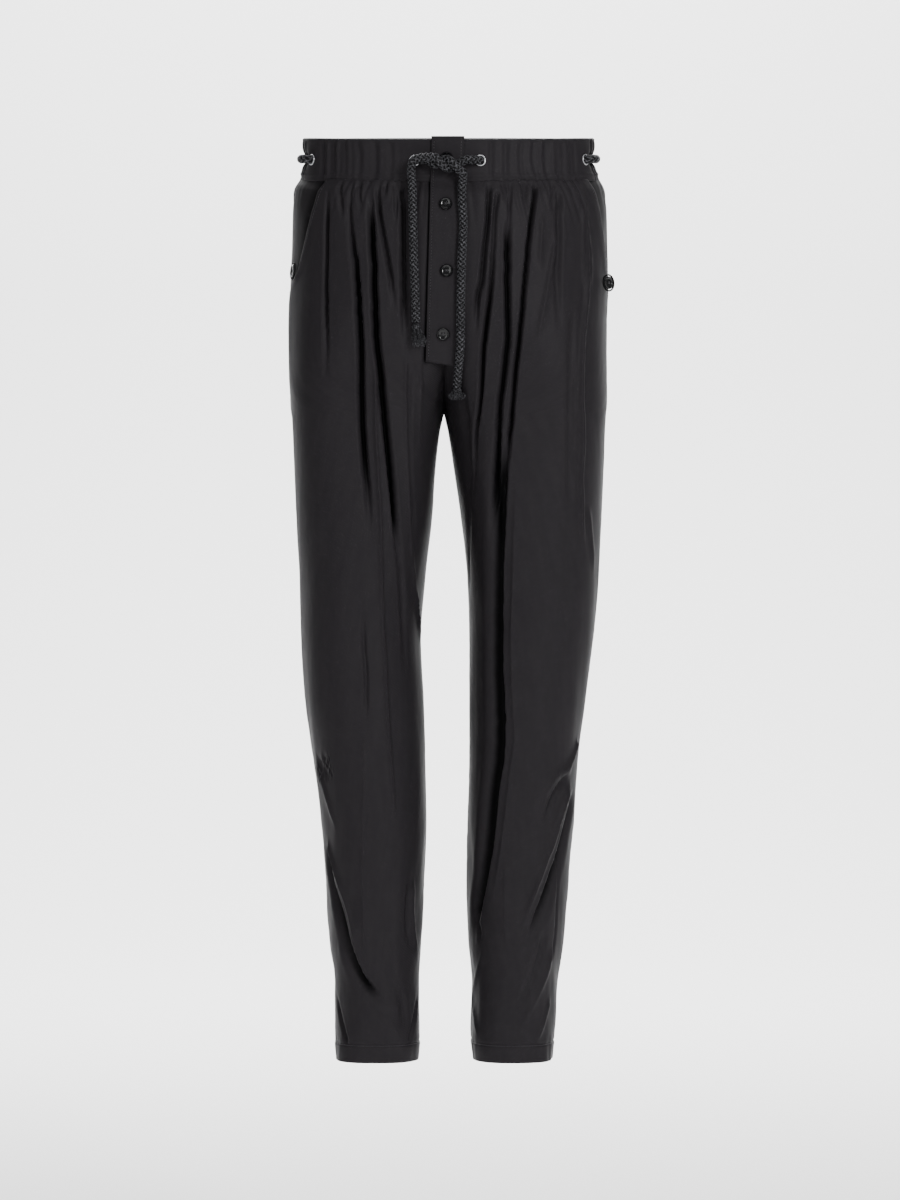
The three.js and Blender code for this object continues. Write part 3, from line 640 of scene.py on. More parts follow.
@dataclass(frozen=True)
class PolishedResin(Finish):
    """Moulded polyester resin, tumbled to a gloss: near black, with faint clouding."""

    name: str = "polished_resin"
    colour: str = "060607"
    cloud: str = "0e0e10"

    def shade(self, recipe: Recipe) -> tuple[dict, dict]:
        """Sets out the shader; see Finish."""
        cloud = recipe.noise({"Scale": 180.0, "Detail": 2.0})
        return {"Roughness": 0.12, "IOR": 1.5}, {"Base Color": recipe.blend(cloud, self.colour, self.cloud)}


@dataclass(frozen=True)
class PlatedBrass(Finish):
    """Nickel-plated brass, stamped and tumbled: bright, with fine rubbing."""

    name: str = "nickel_plate"
    colour: str = "c9cacd"

    def shade(self, recipe: Recipe) -> tuple[dict, dict]:
        """Sets out the shader; see Finish."""
        rub = recipe.noise({"Scale": 900.0, "Detail": 2.0})
        rough = recipe.add("MapRange", {"To Min": 0.18, "To Max": 0.36}, {"Value": rub})
        return {"Base Color": linear(self.colour), "Metallic": 1.0}, {"Roughness": rough}


@dataclass(frozen=True)
class SpunThread(Finish):
    """Spun polyester sewing thread, dyed to match the cloth."""

    name: str = "sewing_thread"
    colour: str = "1f1e22"

    def shade(self, recipe: Recipe) -> tuple[dict, dict]:
        """Sets out the shader; see Finish."""
        ply = recipe.noise({"Scale": 2500.0})
        bump = recipe.add("Bump", {"Strength": 0.4, "Distance": 0.0001}, {"Height": ply})
        return {"Base Color": linear(self.colour), "Roughness": 0.55, "Sheen Weight": 0.2}, {"Normal": bump}


@dataclass(frozen=True)
class StudioPaper(Finish):
    """Seamless background paper, matt and pale grey."""

    name: str = "background_paper"
    colour: str = "e4e4e4"

    def shade(self, recipe: Recipe) -> tuple[dict, dict]:
        """Sets out the shader; see Finish."""
        return {"Base Color": linear(self.colour), "Roughness": 0.9, "Specular IOR Level": 0.1}, {}


@dataclass
class Wardrobe:
    """All the finishes, made once."""

    cloth: bpy.types.Material
    cord: bpy.types.Material
    resin: bpy.types.Material
    metal: bpy.types.Material
    thread: bpy.types.Material
    paper: bpy.types.Material

    @classmethod
    def build(cls) -> Wardrobe:
        """Makes every finish."""
        kinds = (SatinTwill(), BraidedCotton(), PolishedResin(), PlatedBrass(), SpunThread(), StudioPaper())
        return cls(*(kind.build() for kind in kinds))


# ------------------------------------------------------------------ camera, light and floor
@dataclass(frozen=True)
class Lamp:
    """A rectangular lamp, with its places and sizes in metres."""

    name: str
    place: tuple[float, float, float]
    aim: tuple[float, float, float]
    size: tuple[float, float]
    watts: float


LAMPS = (
    Lamp("key", (1.9, -3.3, 0.9), (0, 0, -0.45), (0.7, 1.5), 109),
    Lamp("fill", (-1.7, -3.6, 0.2), (0, 0, -0.5), (1.8, 2.6), 35),
    Lamp("top", (0.2, -0.9, 2.6), (0, 0, -0.3), (2.2, 1.6), 24),
    Lamp("paper", (0, 3.2, 3.0), (0, 4.1, -1.2), (5.0, 1.2), 940),
)


@dataclass(frozen=True)
class Sweep:
    """The sizes of the seamless paper, in metres. It reaches past every camera, behind the garment too."""

    near: float = -7.0
    far: float = 5.8
    bend: float = 1.6
    height: float = 4.2
    half_width: float = 7.0
    turns: int = 12


@dataclass
class Studio:
    """A camera square to the front, plain soft light and seamless paper.

    The camera's frame is 900 units wide and 1200 high, and a unit is unit_mm at the garment's
    middle plane. centre is where the garment's centre line and its drawcord's level lie in it.
    """

    distance: float = 4500
    unit_mm: float = 1.124
    centre: tuple[float, float] = (447.5, 159)
    eye: tuple[float, float] = (450, 600)
    floor: float = -1300
    frame_height: float = 1200
    sensor: float = 36
    sky_colour: str = "f2f2f3"
    sky_strength: float = 0.3
    paper: Sweep = Sweep()

    @property
    def eye_height(self) -> float:
        """The camera's height, in mm."""
        return (self.centre[1] - self.eye[1]) * self.unit_mm

    def seen(self, across: float, down: float, y: float) -> tuple[float, float]:
        """Where a place in the frame lies at a depth.

        Args:
            across: units from the frame's left edge.
            down: units from its top.
            y: the depth of the surface there, in mm.
        Returns:
            X and Z in mm.
        """
        nearer = (self.distance + y) / self.distance
        x0 = (self.eye[0] - self.centre[0]) * self.unit_mm
        x = x0 + (across - self.eye[0]) * self.unit_mm * nearer
        return x, self.eye_height - (down - self.eye[1]) * self.unit_mm * nearer

    def build_camera(self) -> None:
        """Makes the scene's camera."""
        data = bpy.data.cameras.new("camera")
        data.lens = self.sensor * self.distance / (self.frame_height * self.unit_mm)
        data.clip_end = 50
        camera = bpy.data.objects.new("camera", data)
        x = (self.eye[0] - self.centre[0]) * self.unit_mm
        camera.location = (x * MM, -self.distance * MM, self.eye_height * MM)
        camera.rotation_euler = (math.pi / 2, 0, 0)
        bpy.context.scene.collection.objects.link(camera)
        bpy.context.scene.camera = camera

    def build_light(self) -> None:
        """Makes the lamps and the sky."""
        for lamp in LAMPS:
            data = bpy.data.lights.new(lamp.name, "AREA")
            data.shape = "RECTANGLE"
            data.size, data.size_y = lamp.size
            data.energy = lamp.watts
            obj = bpy.data.objects.new(lamp.name, data)
            obj.location = lamp.place
            obj.rotation_euler = (Vector(lamp.aim) - Vector(lamp.place)).to_track_quat("-Z", "Y").to_euler()
            bpy.context.scene.collection.objects.link(obj)
        world = bpy.data.worlds.new("studio")
        world.use_nodes = True
        sky = world.node_tree.nodes["Background"].inputs
        sky["Color"].default_value = linear(self.sky_colour)
        sky["Strength"].default_value = self.sky_strength
        bpy.context.scene.world = world

    def build_paper(self, finish: bpy.types.Material) -> None:
        """Makes the floor that sweeps up into the background."""
        bm = bmesh.new()
        paper = self.paper
        corners = ((x, paper.near, self.floor * MM) for x in (-paper.half_width, paper.half_width))
        start = [bm.verts.new(corner) for corner in corners]
        edges = [bm.edges.new(start)]
        turn = np.linspace(0, math.pi / 2, paper.turns + 1)
        rise = paper.bend * np.stack([np.sin(turn), 1 - np.cos(turn)], axis=1)
        steps = [(paper.far - paper.bend - paper.near, 0), *np.diff(rise, axis=0), (0, paper.height)]
        for along, up in steps:
            made = bmesh.ops.extrude_edge_only(bm, edges=edges)["geom"]
            verts = [g for g in made if isinstance(g, bmesh.types.BMVert)]
            bmesh.ops.translate(bm, verts=verts, vec=(0, along, up))
            edges = [g for g in made if isinstance(g, bmesh.types.BMEdge)]
        bmesh.ops.recalc_face_normals(bm, faces=bm.faces)
        mesh = bpy.data.meshes.new("paper")
        bm.to_mesh(mesh)
        bm.free()
        mesh.polygons.foreach_set("use_smooth", [True] * len(mesh.polygons))
        mesh.materials.append(finish)
        obj = bpy.data.objects.new("paper", mesh)
        bpy.context.scene.collection.objects.link(obj)


# ------------------------------------------------------------------ folds
@dataclass(frozen=True)
class Fold:
    """A trough or a ridge along a line. Sizes are in mm; the line's places are in the camera's frame."""

    height: float  # below 0 for a trough
    inner: float  # its half width towards the garment's centre
    outer: float  # and away from it
    fade_in: float  # the length over which it rises at its top
    fade_out: float  # and over which it dies at its foot
    line: tuple[tuple[float, float], ...]  # across and down, from top to bottom
    profile: Profile = Profile.SOFT
    crest: float = 0.07  # the lips beside a trough, as a share of its height


SOFT, CRISP = Profile.SOFT, Profile.CRISP

FOLDS_FRONT_RIGHT = (
    Fold(-7, 2.8, 2.4, 10, 110, ((326, 186), (325, 240), (324, 300), (325, 340), (326, 390))),
    Fold(-3.5, 1.9, 1.9, 3, 24, ((338, 184), (340, 200), (342, 218))),
    Fold(-9.5, 2.6, 3.4, 130, 120, (
        (351, 184), (349, 205), (351, 235), (355, 270), (358, 310), (361, 350), (364, 440), (369, 500),
        (371, 550),
    )),
    Fold(-2.6, 1.4, 1.4, 4, 60, ((351, 184), (349, 205), (350, 235), (353, 262))),
    Fold(-3.5, 1.6, 1.6, 3, 26, ((358, 184), (360, 214))),
    Fold(-10.5, 3.4, 2.8, 70, 60, (
        (369, 184), (370, 220), (373, 290), (376, 340), (381, 380), (385, 420), (391, 470), (396, 520),
        (399, 562),
    )),
    Fold(-3.0, 4, 4, 30, 90, ((398, 530), (402, 580), (404, 630), (405, 690))),
    Fold(-6, 2.2, 2.2, 20, 60, (
        (377, 184), (378, 205), (382, 230), (387, 260), (393, 300), (394, 315),
    )),
    Fold(-2.4, 1.5, 1.5, 3, 12, ((384, 184), (386, 197))),
    Fold(-3.6, 1.6, 1.6, 4, 25, ((395, 184), (396, 224))),
    Fold(-7, 3, 3, 10, 70, ((400, 184), (403, 215), (403, 260), (404, 310), (406, 355))),
    Fold(4.0, 1.3, 2.2, 60, 60, (
        (375, 340), (377, 440), (381, 520), (382, 600), (386, 680), (390, 750), (396, 825),
    ), CRISP),
    Fold(3.8, 1.3, 2.0, 30, 40, (
        (406, 350), (407, 430), (410, 500), (413, 560), (417, 610), (420, 650),
    ), CRISP),
    Fold(2.6, 1.7, 2.2, 30, 30, ((421, 345), (421, 450), (425, 490), (428, 515)), CRISP),
    Fold(-2.2, 3, 4, 30, 60, ((409, 360), (410, 430), (413, 500), (416, 560))),
    Fold(-3, 1.8, 2.4, 50, 30, ((363, 605), (365, 650), (367, 680), (366, 722))),
    Fold(1.4, 1.5, 2, 20, 60, ((365, 735), (364, 790), (363, 870), (366, 960), (369, 985)), CRISP),
    Fold(-2.6, 3.2, 3.6, 6, 12, ((317, 760), (323, 768), (330, 780))),
    Fold(3, 2.4, 4, 8, 25, ((320, 774), (325, 790), (331, 812), (336, 830)), CRISP),
    Fold(3.4, 2.4, 3, 16, 50, (
        (326, 840), (333, 865), (341, 888), (349, 912), (356, 940), (362, 965),
    ), CRISP),
    Fold(-9, 3.4, 8, 20, 50, (
        (325, 850), (331, 878), (338, 905), (345, 930), (352, 955), (362, 978), (375, 992),
        (390, 1010),
    )),
    Fold(3, 2.4, 3, 20, 30, ((415, 880), (413, 915), (417, 962)), CRISP),
    Fold(-3, 2.6, 3, 20, 30, ((410, 885), (408, 925), (411, 950))),
    Fold(-3.6, 2.4, 2.8, 12, 8, ((337, 1000), (341, 1022), (348, 1045))),
    Fold(-3.6, 2.4, 2.4, 12, 8, ((417, 1000), (414, 1022), (409, 1045))),
    Fold(2, 4, 4, 20, 20, ((372, 1005), (388, 1020), (402, 1042)), CRISP),
    Fold(-2, 5, 5, 20, 20, ((398, 985), (404, 1010), (406, 1035))),
    Fold(-1.6, 7, 7, 40, 60, ((392, 850), (388, 900), (391, 960), (395, 1000))),
)

FOLDS_FRONT_LEFT = (
    Fold(-6.5, 2.4, 2, 10, 60, (
        (490, 184), (489, 210), (485, 250), (482, 280), (478, 297), (476, 340),
    )),
    Fold(-4, 1.8, 1.8, 8, 120, (
        (499, 190), (495, 215), (494, 240), (492, 280), (489, 310), (484, 350),
    )),
    Fold(-8.5, 2.6, 1.8, 120, 40, (
        (494, 240), (492, 280), (489, 310), (484, 350), (480, 400), (476, 430), (474, 470), (473, 500),
    )),
    Fold(-7, 9, 3, 40, 60, (
        (462, 385), (466, 420), (468, 450), (470, 480), (470, 520), (469, 560), (470, 600),
    )),
    Fold(-3, 1.4, 1.4, 3, 40, ((511, 184), (510, 205), (509, 235))),
    Fold(-9, 2.8, 2.6, 40, 90, (
        (509, 215), (508, 240), (508, 330), (505, 365), (500, 400), (497, 440), (492, 500), (488, 550),
    )),
    Fold(-8.5, 2.4, 1.7, 10, 60, (
        (537, 184), (531, 230), (526, 280), (521, 330), (516, 370), (512, 410), (509, 445), (508, 470),
    )),
    Fold(-12.5, 13, 2.4, 110, 60, (
        (512, 410), (507, 445), (504, 480), (502, 530), (500, 580), (500, 620), (500, 670), (502, 720),
        (501, 755), (496, 790), (492, 830), (487, 870), (480, 905), (474, 945),
    )),
    Fold(1.6, 1.6, 3, 60, 50, (
        (515, 480), (513, 560), (511, 640), (512, 690), (514, 735), (510, 770), (505, 815), (499, 860),
        (491, 905),
    ), CRISP),
    Fold(-3, 1.6, 1.6, 3, 20, ((525, 184), (524, 204))),
    Fold(-2.8, 1.8, 1.8, 3, 20, ((505, 184), (506, 204))),
    Fold(-3.4, 1.9, 1.9, 4, 24, ((554, 184), (554, 214))),
    Fold(-4.5, 3.4, 3.4, 14, 90, ((560, 186), (560, 240), (558, 280), (560, 340))),
    Fold(2.4, 1.8, 2.4, 8, 20, ((542, 215), (540, 268)), CRISP),
    Fold(3.0, 1.6, 2.6, 30, 50, ((558, 230), (552, 260), (546, 295), (541, 322), (536, 350)), CRISP),
    Fold(4.8, 2.6, 3.4, 50, 60, (
        (589, 225), (588, 290), (583, 340), (581, 400), (582, 440), (580, 480), (581, 515), (586, 555),
    )),
    Fold(2.6, 1.5, 1.5, 20, 20, ((585, 200), (585, 232), (585, 262), (586, 290)), CRISP),
    Fold(2.4, 1.5, 1.5, 20, 20, ((588, 196), (590, 232), (593, 262), (592, 290)), CRISP),
    Fold(-2.2, 4, 4, 30, 60, ((574, 300), (571, 380), (570, 450), (570, 520))),
    Fold(2.4, 4, 4, 20, 30, ((588, 505), (592, 545), (595, 575))),
    Fold(3.6, 2.4, 2.6, 8, 20, ((578, 742), (570, 764), (562, 776)), CRISP),
    Fold(3.4, 2.6, 3, 8, 30, ((572, 768), (557, 776), (547, 790), (542, 806)), CRISP),
    Fold(-4, 3, 3, 5, 25, ((567, 778), (556, 792), (543, 822))),
    Fold(5.5, 2.2, 3.4, 20, 60, (
        (571, 782), (559, 820), (550, 848), (541, 872), (529, 905), (518, 938),
    ), CRISP),
    Fold(-7.5, 3, 9, 20, 60, ((574, 795), (564, 835), (555, 868), (546, 893), (536, 918), (525, 950))),
    Fold(-1.6, 1.6, 1.6, 20, 20, ((564, 835), (558, 900), (555, 940), (552, 965))),
    Fold(3, 3, 3.4, 15, 30, ((554, 948), (543, 982), (528, 1012), (516, 1034)), CRISP),
    Fold(-3, 4, 4, 15, 30, ((546, 930), (537, 965), (524, 995), (510, 1015))),
    Fold(2.4, 2, 2.4, 8, 12, ((550, 1000), (545, 1020), (537, 1042)), CRISP),
    Fold(0.8, 1.5, 2, 30, 30, ((504, 860), (504.5, 910), (505, 955)), CRISP),
    Fold(-4.5, 2.6, 3, 10, 14, ((472, 905), (476, 922), (481, 942))),
    Fold(2, 2.6, 3, 12, 16, ((483, 952), (475, 985), (472, 1005), (477, 1040)), CRISP),
)

FOLDS_BACK_RIGHT = (
    Fold(-6, 2.4, 2.4, 10, 70, ((419, 184), (421, 240), (424, 310), (426, 350))),
    Fold(-9, 2.8, 3.2, 30, 90, ((395, 184), (398, 240), (400, 330), (401, 430), (398, 490))),
    Fold(-3, 1.8, 1.8, 3, 25, ((384, 184), (385, 214))),
    Fold(-9.5, 3.4, 2.8, 40, 110, ((367, 184), (371, 260), (373, 360), (375, 480), (377, 590))),
    Fold(-3, 1.8, 1.8, 3, 30, ((352, 184), (351, 222))),
    Fold(-6.5, 3, 3, 14, 80, ((337, 184), (335, 260), (336, 360), (338, 420))),
    Fold(1.8, 1.8, 3, 80, 90, ((383, 330), (386, 480), (388, 600), (385, 700)), CRISP),
    Fold(1.6, 1.8, 2.4, 60, 60, ((409, 350), (410, 450), (406, 540)), CRISP),
    Fold(-4, 4, 4, 30, 40, ((322, 700), (348, 735), (386, 752), (402, 748))),
    Fold(3, 4, 4, 30, 40, ((325, 728), (352, 762), (388, 778), (404, 776)), CRISP),
    Fold(-4, 4, 5, 30, 40, ((328, 838), (352, 880), (380, 915), (392, 935))),
    Fold(2.6, 3, 4, 30, 40, ((334, 870), (356, 912), (384, 948), (396, 962)), CRISP),
    Fold(-2, 2.4, 2.4, 12, 8, ((350, 1010), (358, 1045))),
    Fold(1.6, 4, 4, 30, 30, ((402, 850), (398, 920), (401, 1000)), CRISP),
)

FOLDS_BACK_LEFT = (
    Fold(-6, 2.4, 2.4, 10, 60, ((476, 184), (474, 240), (471, 300), (469, 330))),
    Fold(-9, 3.2, 2.8, 30, 90, ((501, 184), (497, 240), (494, 330), (492, 430), (493, 500))),
    Fold(-3, 1.8, 1.8, 3, 25, ((514, 184), (513, 216))),
    Fold(-9.5, 2.8, 3.4, 40, 110, ((529, 184), (527, 260), (523, 360), (518, 480), (517, 570))),
    Fold(-3, 1.8, 1.8, 3, 30, ((545, 184), (546, 226))),
    Fold(-6.5, 3, 3, 14, 80, ((560, 184), (561, 260), (559, 360), (556, 410))),
    Fold(1.8, 3, 1.8, 80, 90, ((510, 330), (507, 480), (506, 600), (510, 700)), CRISP),
    Fold(1.6, 2.4, 1.8, 60, 60, ((483, 350), (484, 450), (488, 540)), CRISP),
    Fold(-4, 4, 4, 30, 40, ((574, 712), (546, 748), (508, 762), (494, 758))),
    Fold(3, 4, 4, 30, 40, ((572, 740), (544, 774), (508, 788), (492, 788)), CRISP),
    Fold(-4, 5, 4, 30, 40, ((562, 856), (540, 896), (512, 928), (500, 944))),
    Fold(2.6, 4, 3, 30, 40, ((556, 886), (536, 926), (508, 958), (498, 972)), CRISP),
    Fold(-2, 2.4, 2.4, 12, 8, ((540, 1010), (533, 1045))),
    Fold(1.6, 4, 4, 30, 30, ((488, 860), (492, 930), (489, 1000)), CRISP),
)


POCKET_MOUTHS = {Side.RIGHT: (37.0, 23.0), Side.LEFT: (25.0, 9.0)}
"""The mouth's upper and lower end on each side, in degrees from the side seam."""


@dataclass
class LegPanel:
    """A front or back leg panel, from the waist seam to the hem."""

    side: Side
    face: Face
    folds: tuple[Fold, ...]
    form: Form
    studio: Studio
    seed: int
    columns: int
    rows: int
    inner_face: float = 16
    inner_share: float = 0.15
    outer_turn: float = 42
    outer_share: float = 0.17
    thickness: float = 1.6
    hem_depth: float = 20
    gather_pitch: float = 9.5
    gather_depth: float = 1.7
    pocket_end: float = -128
    pocket_closes: float = -160
    pocket_under: float = 4
    edge_rest: float = 9  # how far from a seam the cloth begins to fold
    deepest: float = -15
    highest: float = 5.5
    # the lifts at which painted shade in a trough begins and is full
    shade_from: float = -3.0
    shade_full: float = -9.5
    placket_sink: float = 1.4
    seam_width: float = 1.6

    @property
    def name(self) -> str:
        """The CAD node that the panel replaces."""
        return f"{self.face.name.lower()}_{self.side.name.lower()}"

    def short_of_seam(self, level: Array) -> Array:
        """How far, in degrees, the panel stops short of the side seam at the pocket mouth."""
        if self.face > 0:
            return np.zeros_like(level)
        top, low = POCKET_MOUTHS[self.side]
        t = (level - self.pocket_end) / (self.form.waist_seam - self.pocket_end)
        mouth = low + (top - low) * t
        closing = low * np.clip((level - self.pocket_closes) / (self.pocket_end - self.pocket_closes), 0, 1)
        return np.where(level >= self.pocket_end, mouth, closing)

    def freedom(self, level: Array, x: Array, s: Array, width: Array, degrees: Array) -> Array:
        """How freely the cloth folds: flat along its edges, under the placket and over the facing."""
        free = smooth(0, self.edge_rest, s) * smooth(0, self.edge_rest, width - s)
        if self.face > 0:
            return free
        mouth = self.short_of_seam(level) + self.pocket_under + 1
        over = smooth(mouth, mouth + 6, degrees)
        free = np.where(level > self.pocket_closes - 30, smooth(0, self.edge_rest, s) * over, free)
        reach = self.placket_edge(level) + 1
        beside = smooth(reach, reach + 7, x)
        fading = smooth(-262, -240, level)
        return free * (1 - fading + fading * beside)

    def placket_edge(self, level: Array) -> Array:
        """How far from the centre the placket's edge lies on this side."""
        placket = Placket(self.form)
        return placket.width / 2 + self.side * placket.middle(level)

    def placket_shadow(self, level: Array, x: Array) -> Array:
        """The groove where a front panel runs in under the placket, from 0 to 1; the panel sinks into it and
        it gets painted shade.
        """
        if self.face > 0:
            return np.zeros_like(x)
        beside = hump(x - self.placket_edge(level) - 0.3, 2.1)
        return beside * smooth(-240, -232, level) * (0.9 if self.side < 0 else 0.5)

    def crowding(self, level: Array, normal: Array) -> Array:
        """How much of a fold's height is left where the legs' inner sides lie close together."""
        inward = smooth(0.45, 0.9, -self.side * normal[..., 0])
        close = smooth(-250, -290, level) * smooth(-520, -400, level)
        return 1 - 0.85 * inward * close

    def set_out(self, fold: Fold, level: Array, x: Array, s: Array) -> tuple[Array, Array]:
        """A fold's line in the cloth's own plane.

        Args:
            fold: the fold.
            level: each row's level.
            x: every point's distance from the centre.
            s: every point's distance across the cloth.
        Returns:
            The line's places across, and its levels, evenly stepped from top to bottom.
        """
        across, down = [], []
        for a, b in fold.line:
            y = -0.92 * float(self.form.curves["front"]((self.studio.centre[1] - b) * self.studio.unit_mm))
            px, pz = self.studio.seen(a, b, y)
            lift = self.form.tilt * y * float(smooth(self.form.tilt_ends, self.form.waist_seam, pz))
            across.append(abs(px))
            down.append(pz - lift)
        down_fine = np.linspace(0, 1, 64)
        key = np.linspace(0, 1, len(down))
        x_fine, z_fine = Through(key, across)(down_fine), Through(key, down)(down_fine)
        rows = np.clip(np.searchsorted(-level, -z_fine), 0, len(level) - 1)
        return np.array([np.interp(xf, x[r], s[r]) for xf, r in zip(x_fine, rows)]), z_fine

    def fold_height(self, fold: Fold, level: Array, x: Array, s: Array) -> Array:
        """The height that a fold gives every point of the cloth."""
        line_s, line_z = self.set_out(fold, level, x, s)
        reach = 4.5 * max(fold.inner, fold.outer) + 4
        rows = np.flatnonzero((level < line_z.max() + reach) & (level > line_z.min() - reach))
        height = np.zeros_like(s)
        if not len(rows):
            return height
        ds, dz = np.gradient(line_s), np.gradient(line_z)
        run = np.hypot(ds, dz)
        far = run_along(np.stack([line_s, line_z], axis=1))
        off_s = s[rows][..., None] - line_s
        off_z = level[rows][:, None, None] - line_z
        near = np.argmin(off_s**2 + off_z**2, axis=-1)
        off_s, off_z = s[rows] - line_s[near], level[rows][:, None] - line_z[near]
        ts, tz = ds[near] / run[near], dz[near] / run[near]
        across = ts * off_z - tz * off_s
        at = far[near] + ts * off_s + tz * off_z
        width = np.where(across < 0, fold.inner, fold.outer)
        a = across / width
        taper = smooth(-2, fold.fade_in, at) * smooth(far[-1] + 2, far[-1] - fold.fade_out, at)
        if fold.profile is Profile.CRISP:
            shape = np.exp(-(np.sqrt(a**2 + 0.06) - 0.245) * 1.1)
        elif fold.height > 0:
            shape = np.exp(-(a**2))
        else:
            shape = 1 / (1 + a**4) - fold.crest * np.exp(-((np.abs(a) - 2.0) ** 2) / 0.35)
        height[rows] = fold.height * taper * shape
        return height

    def gathers(self, level: Array, s: Array, width: Array) -> Array:
        """The small uneven gathers under the waistband."""
        rng = np.random.default_rng(self.seed)
        height = np.zeros_like(s)
        place = 5.0
        share = s / width
        top = float(width[0, 0])
        while place < top - 4:
            deep = self.gather_depth * rng.uniform(0.45, 1.25)
            long = rng.uniform(22, 95)
            wide = rng.uniform(2.1, 3.4)
            drift = rng.uniform(-0.03, 0.03)
            below = self.form.waist_seam - level
            across = (share - place / top) * width - drift * below
            height -= deep * hump(across, wide) * smooth(long, 4, below)
            place += self.gather_pitch * rng.uniform(0.7, 1.35)
        return height

    def spread_out(self, u: Array, level: Array) -> tuple[Array, Array, Array]:
        """Spaces the panel's columns, closer together round its inner and outer turns.

        Args:
            u: each point's share of the way across.
            level: each row's level, as a column.
        Returns:
            The points' angles on the form, their distances across the cloth from the inner edge, and
            each row's distance to the side seam.
        """
        trial = self.face * self.form.ring(self.side, level).open * (1 - np.linspace(0, 1, 500))
        trial_points = self.form.point(self.side, trial, level)
        run = np.cumsum(np.linalg.norm(np.diff(trial_points, axis=1), axis=-1), axis=1)
        run = np.concatenate([np.zeros_like(level), run], axis=1)
        across = self.side * trial_points[..., 0]
        end = self.short_of_seam(level)
        inner = np.abs(self.form.curves[f"inner_{self.side.name.lower()}"](level)) + self.inner_face
        shares = (0, self.inner_share, 1 - self.outer_share, 1)
        angle, s = np.empty_like(u), np.empty_like(u)
        for k in range(len(level)):
            turned, back = np.degrees(np.abs(trial[k][::-1])), run[k][::-1]
            first = np.interp(inner[k, 0], across[k], run[k])
            side_turn, last = (np.interp(degrees, turned, back) for degrees in (self.outer_turn, end[k, 0]))
            s[k] = np.interp(u[k], shares, (0, first, side_turn, last))
            angle[k] = np.interp(s[k], run[k], trial[k])
        return angle, s, run[:, -1:]

    def unevenness(self, s: Array, level: Array) -> tuple[Array, Array]:
        """The cloth's broad waves, with the crumples of the lower leg, and its fine ones."""
        broad = 0.9 * Ripple(self.seed, 34, 210)(s, level) + 0.3 * Ripple(self.seed + 1, 15, 70)(s, level)
        crumples = 1.1 * Ripple(self.seed + 6, 26, 58)(s + 0.45 * level, level)
        fine = 0.1 * Ripple(self.seed + 2, 6, 16)(s, level) + 0.2 * Ripple(self.seed + 3, 18, 24)(s, level)
        return broad + crumples * smooth(-640, -860, level), fine * (0.5 + 0.9 * smooth(-600, -950, level))

    def place(self, u: Array, v: Array) -> tuple[Array, Array, Array]:
        """Lays out the panel; see grid_piece."""
        level = self.levels(v[:, :1])
        angle, s, whole = self.spread_out(u, level)
        width = s[:, -1:]
        point, normal = self.form.skin(self.side, angle, level)
        x = self.side * point[..., 0]
        lift = sum(self.fold_height(fold, level[:, 0], x, s - whole) for fold in self.folds)
        broad, fine = self.unevenness(s, level)
        lift = np.clip(lift + self.gathers(level, s, width) + broad + fine, self.deepest, self.highest)
        degrees = np.abs(np.degrees(angle))
        lift = lift * self.freedom(level, x, s, width, degrees) * self.crowding(level, normal)
        lift = lift + self.edges(level, s, width)
        inward = smooth(0.3, 0.9, -self.side * normal[..., 0]) * smooth(-285, -292, level)
        lift = lift - inward * (0.3 + 1.0 * smooth(-420, -310, level))
        shadow = self.placket_shadow(level, x)
        lift = lift - self.placket_sink * shadow
        # painted shade: the cloth is darkened in deep troughs and in the groove beside the placket
        hollow = np.maximum(smooth(self.shade_from, self.shade_full, lift), shadow)
        return point + normal * lift[..., None], np.stack([s, level + 0 * s], axis=-1), hollow

    def levels(self, v: Array) -> Array:
        """Each row's level, the rows closer together by the waist seam and the hem."""
        top, hem = self.form.waist_seam + 1.5, self.form.hem
        fine = np.linspace(top, hem, 2000)
        density = 1 + 0.8 * smooth(top - 90, top - 10, fine) + 2.2 * smooth(hem + 44, hem + 26, fine)
        share = np.concatenate([[0], np.cumsum(density[1:])])
        return np.interp(v, share / share[-1], fine)

    def edges(self, level: Array, s: Array, width: Array) -> Array:
        """The sunk and puckered seams, the turned hem and the tuck under the waistband."""
        pucker = Ripple(self.seed + 4, 1000, 9)(s * 0, level)
        parted = smooth(self.form.parting, self.form.parting - 60, level)
        closed = parted * smooth(self.form.crotch - 8, self.form.crotch + 2, level)
        far_s = width - s
        in_seam = hump(s, self.seam_width) * (1 - closed) + hump(far_s, self.seam_width)
        near_seam = hump(s - 5, 4) + hump(far_s - 5, 4)
        hem_line = self.form.hem + self.hem_depth
        hem = -0.9 * hump(level - hem_line, 1.2) + 0.6 * smooth(hem_line + 1, hem_line - 2, level)
        hem_pucker = 0.5 * Ripple(self.seed + 5, 7, 1000)(s, level * 0)
        hem_pucker = hem_pucker * smooth(hem_line + 14, hem_line, level)
        below = self.form.waist_seam - level
        tuck = 1.5 * hump(below - 15, 9) * smooth(0, 40, s) - 0.5 * smooth(5, 0, below)
        return -0.7 * in_seam + 0.25 * pucker * near_seam + hem + hem_pucker + tuck

    def build(self, wardrobe: Wardrobe) -> bpy.types.Object:
        """Makes and dresses the panel."""
        middle = np.array([0, float(self.face), 0])
        obj = grid_piece(f"{self.name}_panel", self.columns, self.rows, self.place, middle)
        thicken(obj, self.thickness)
        dress(obj, wardrobe.cloth, self.name)
        self.stitch(wardrobe)
        return obj

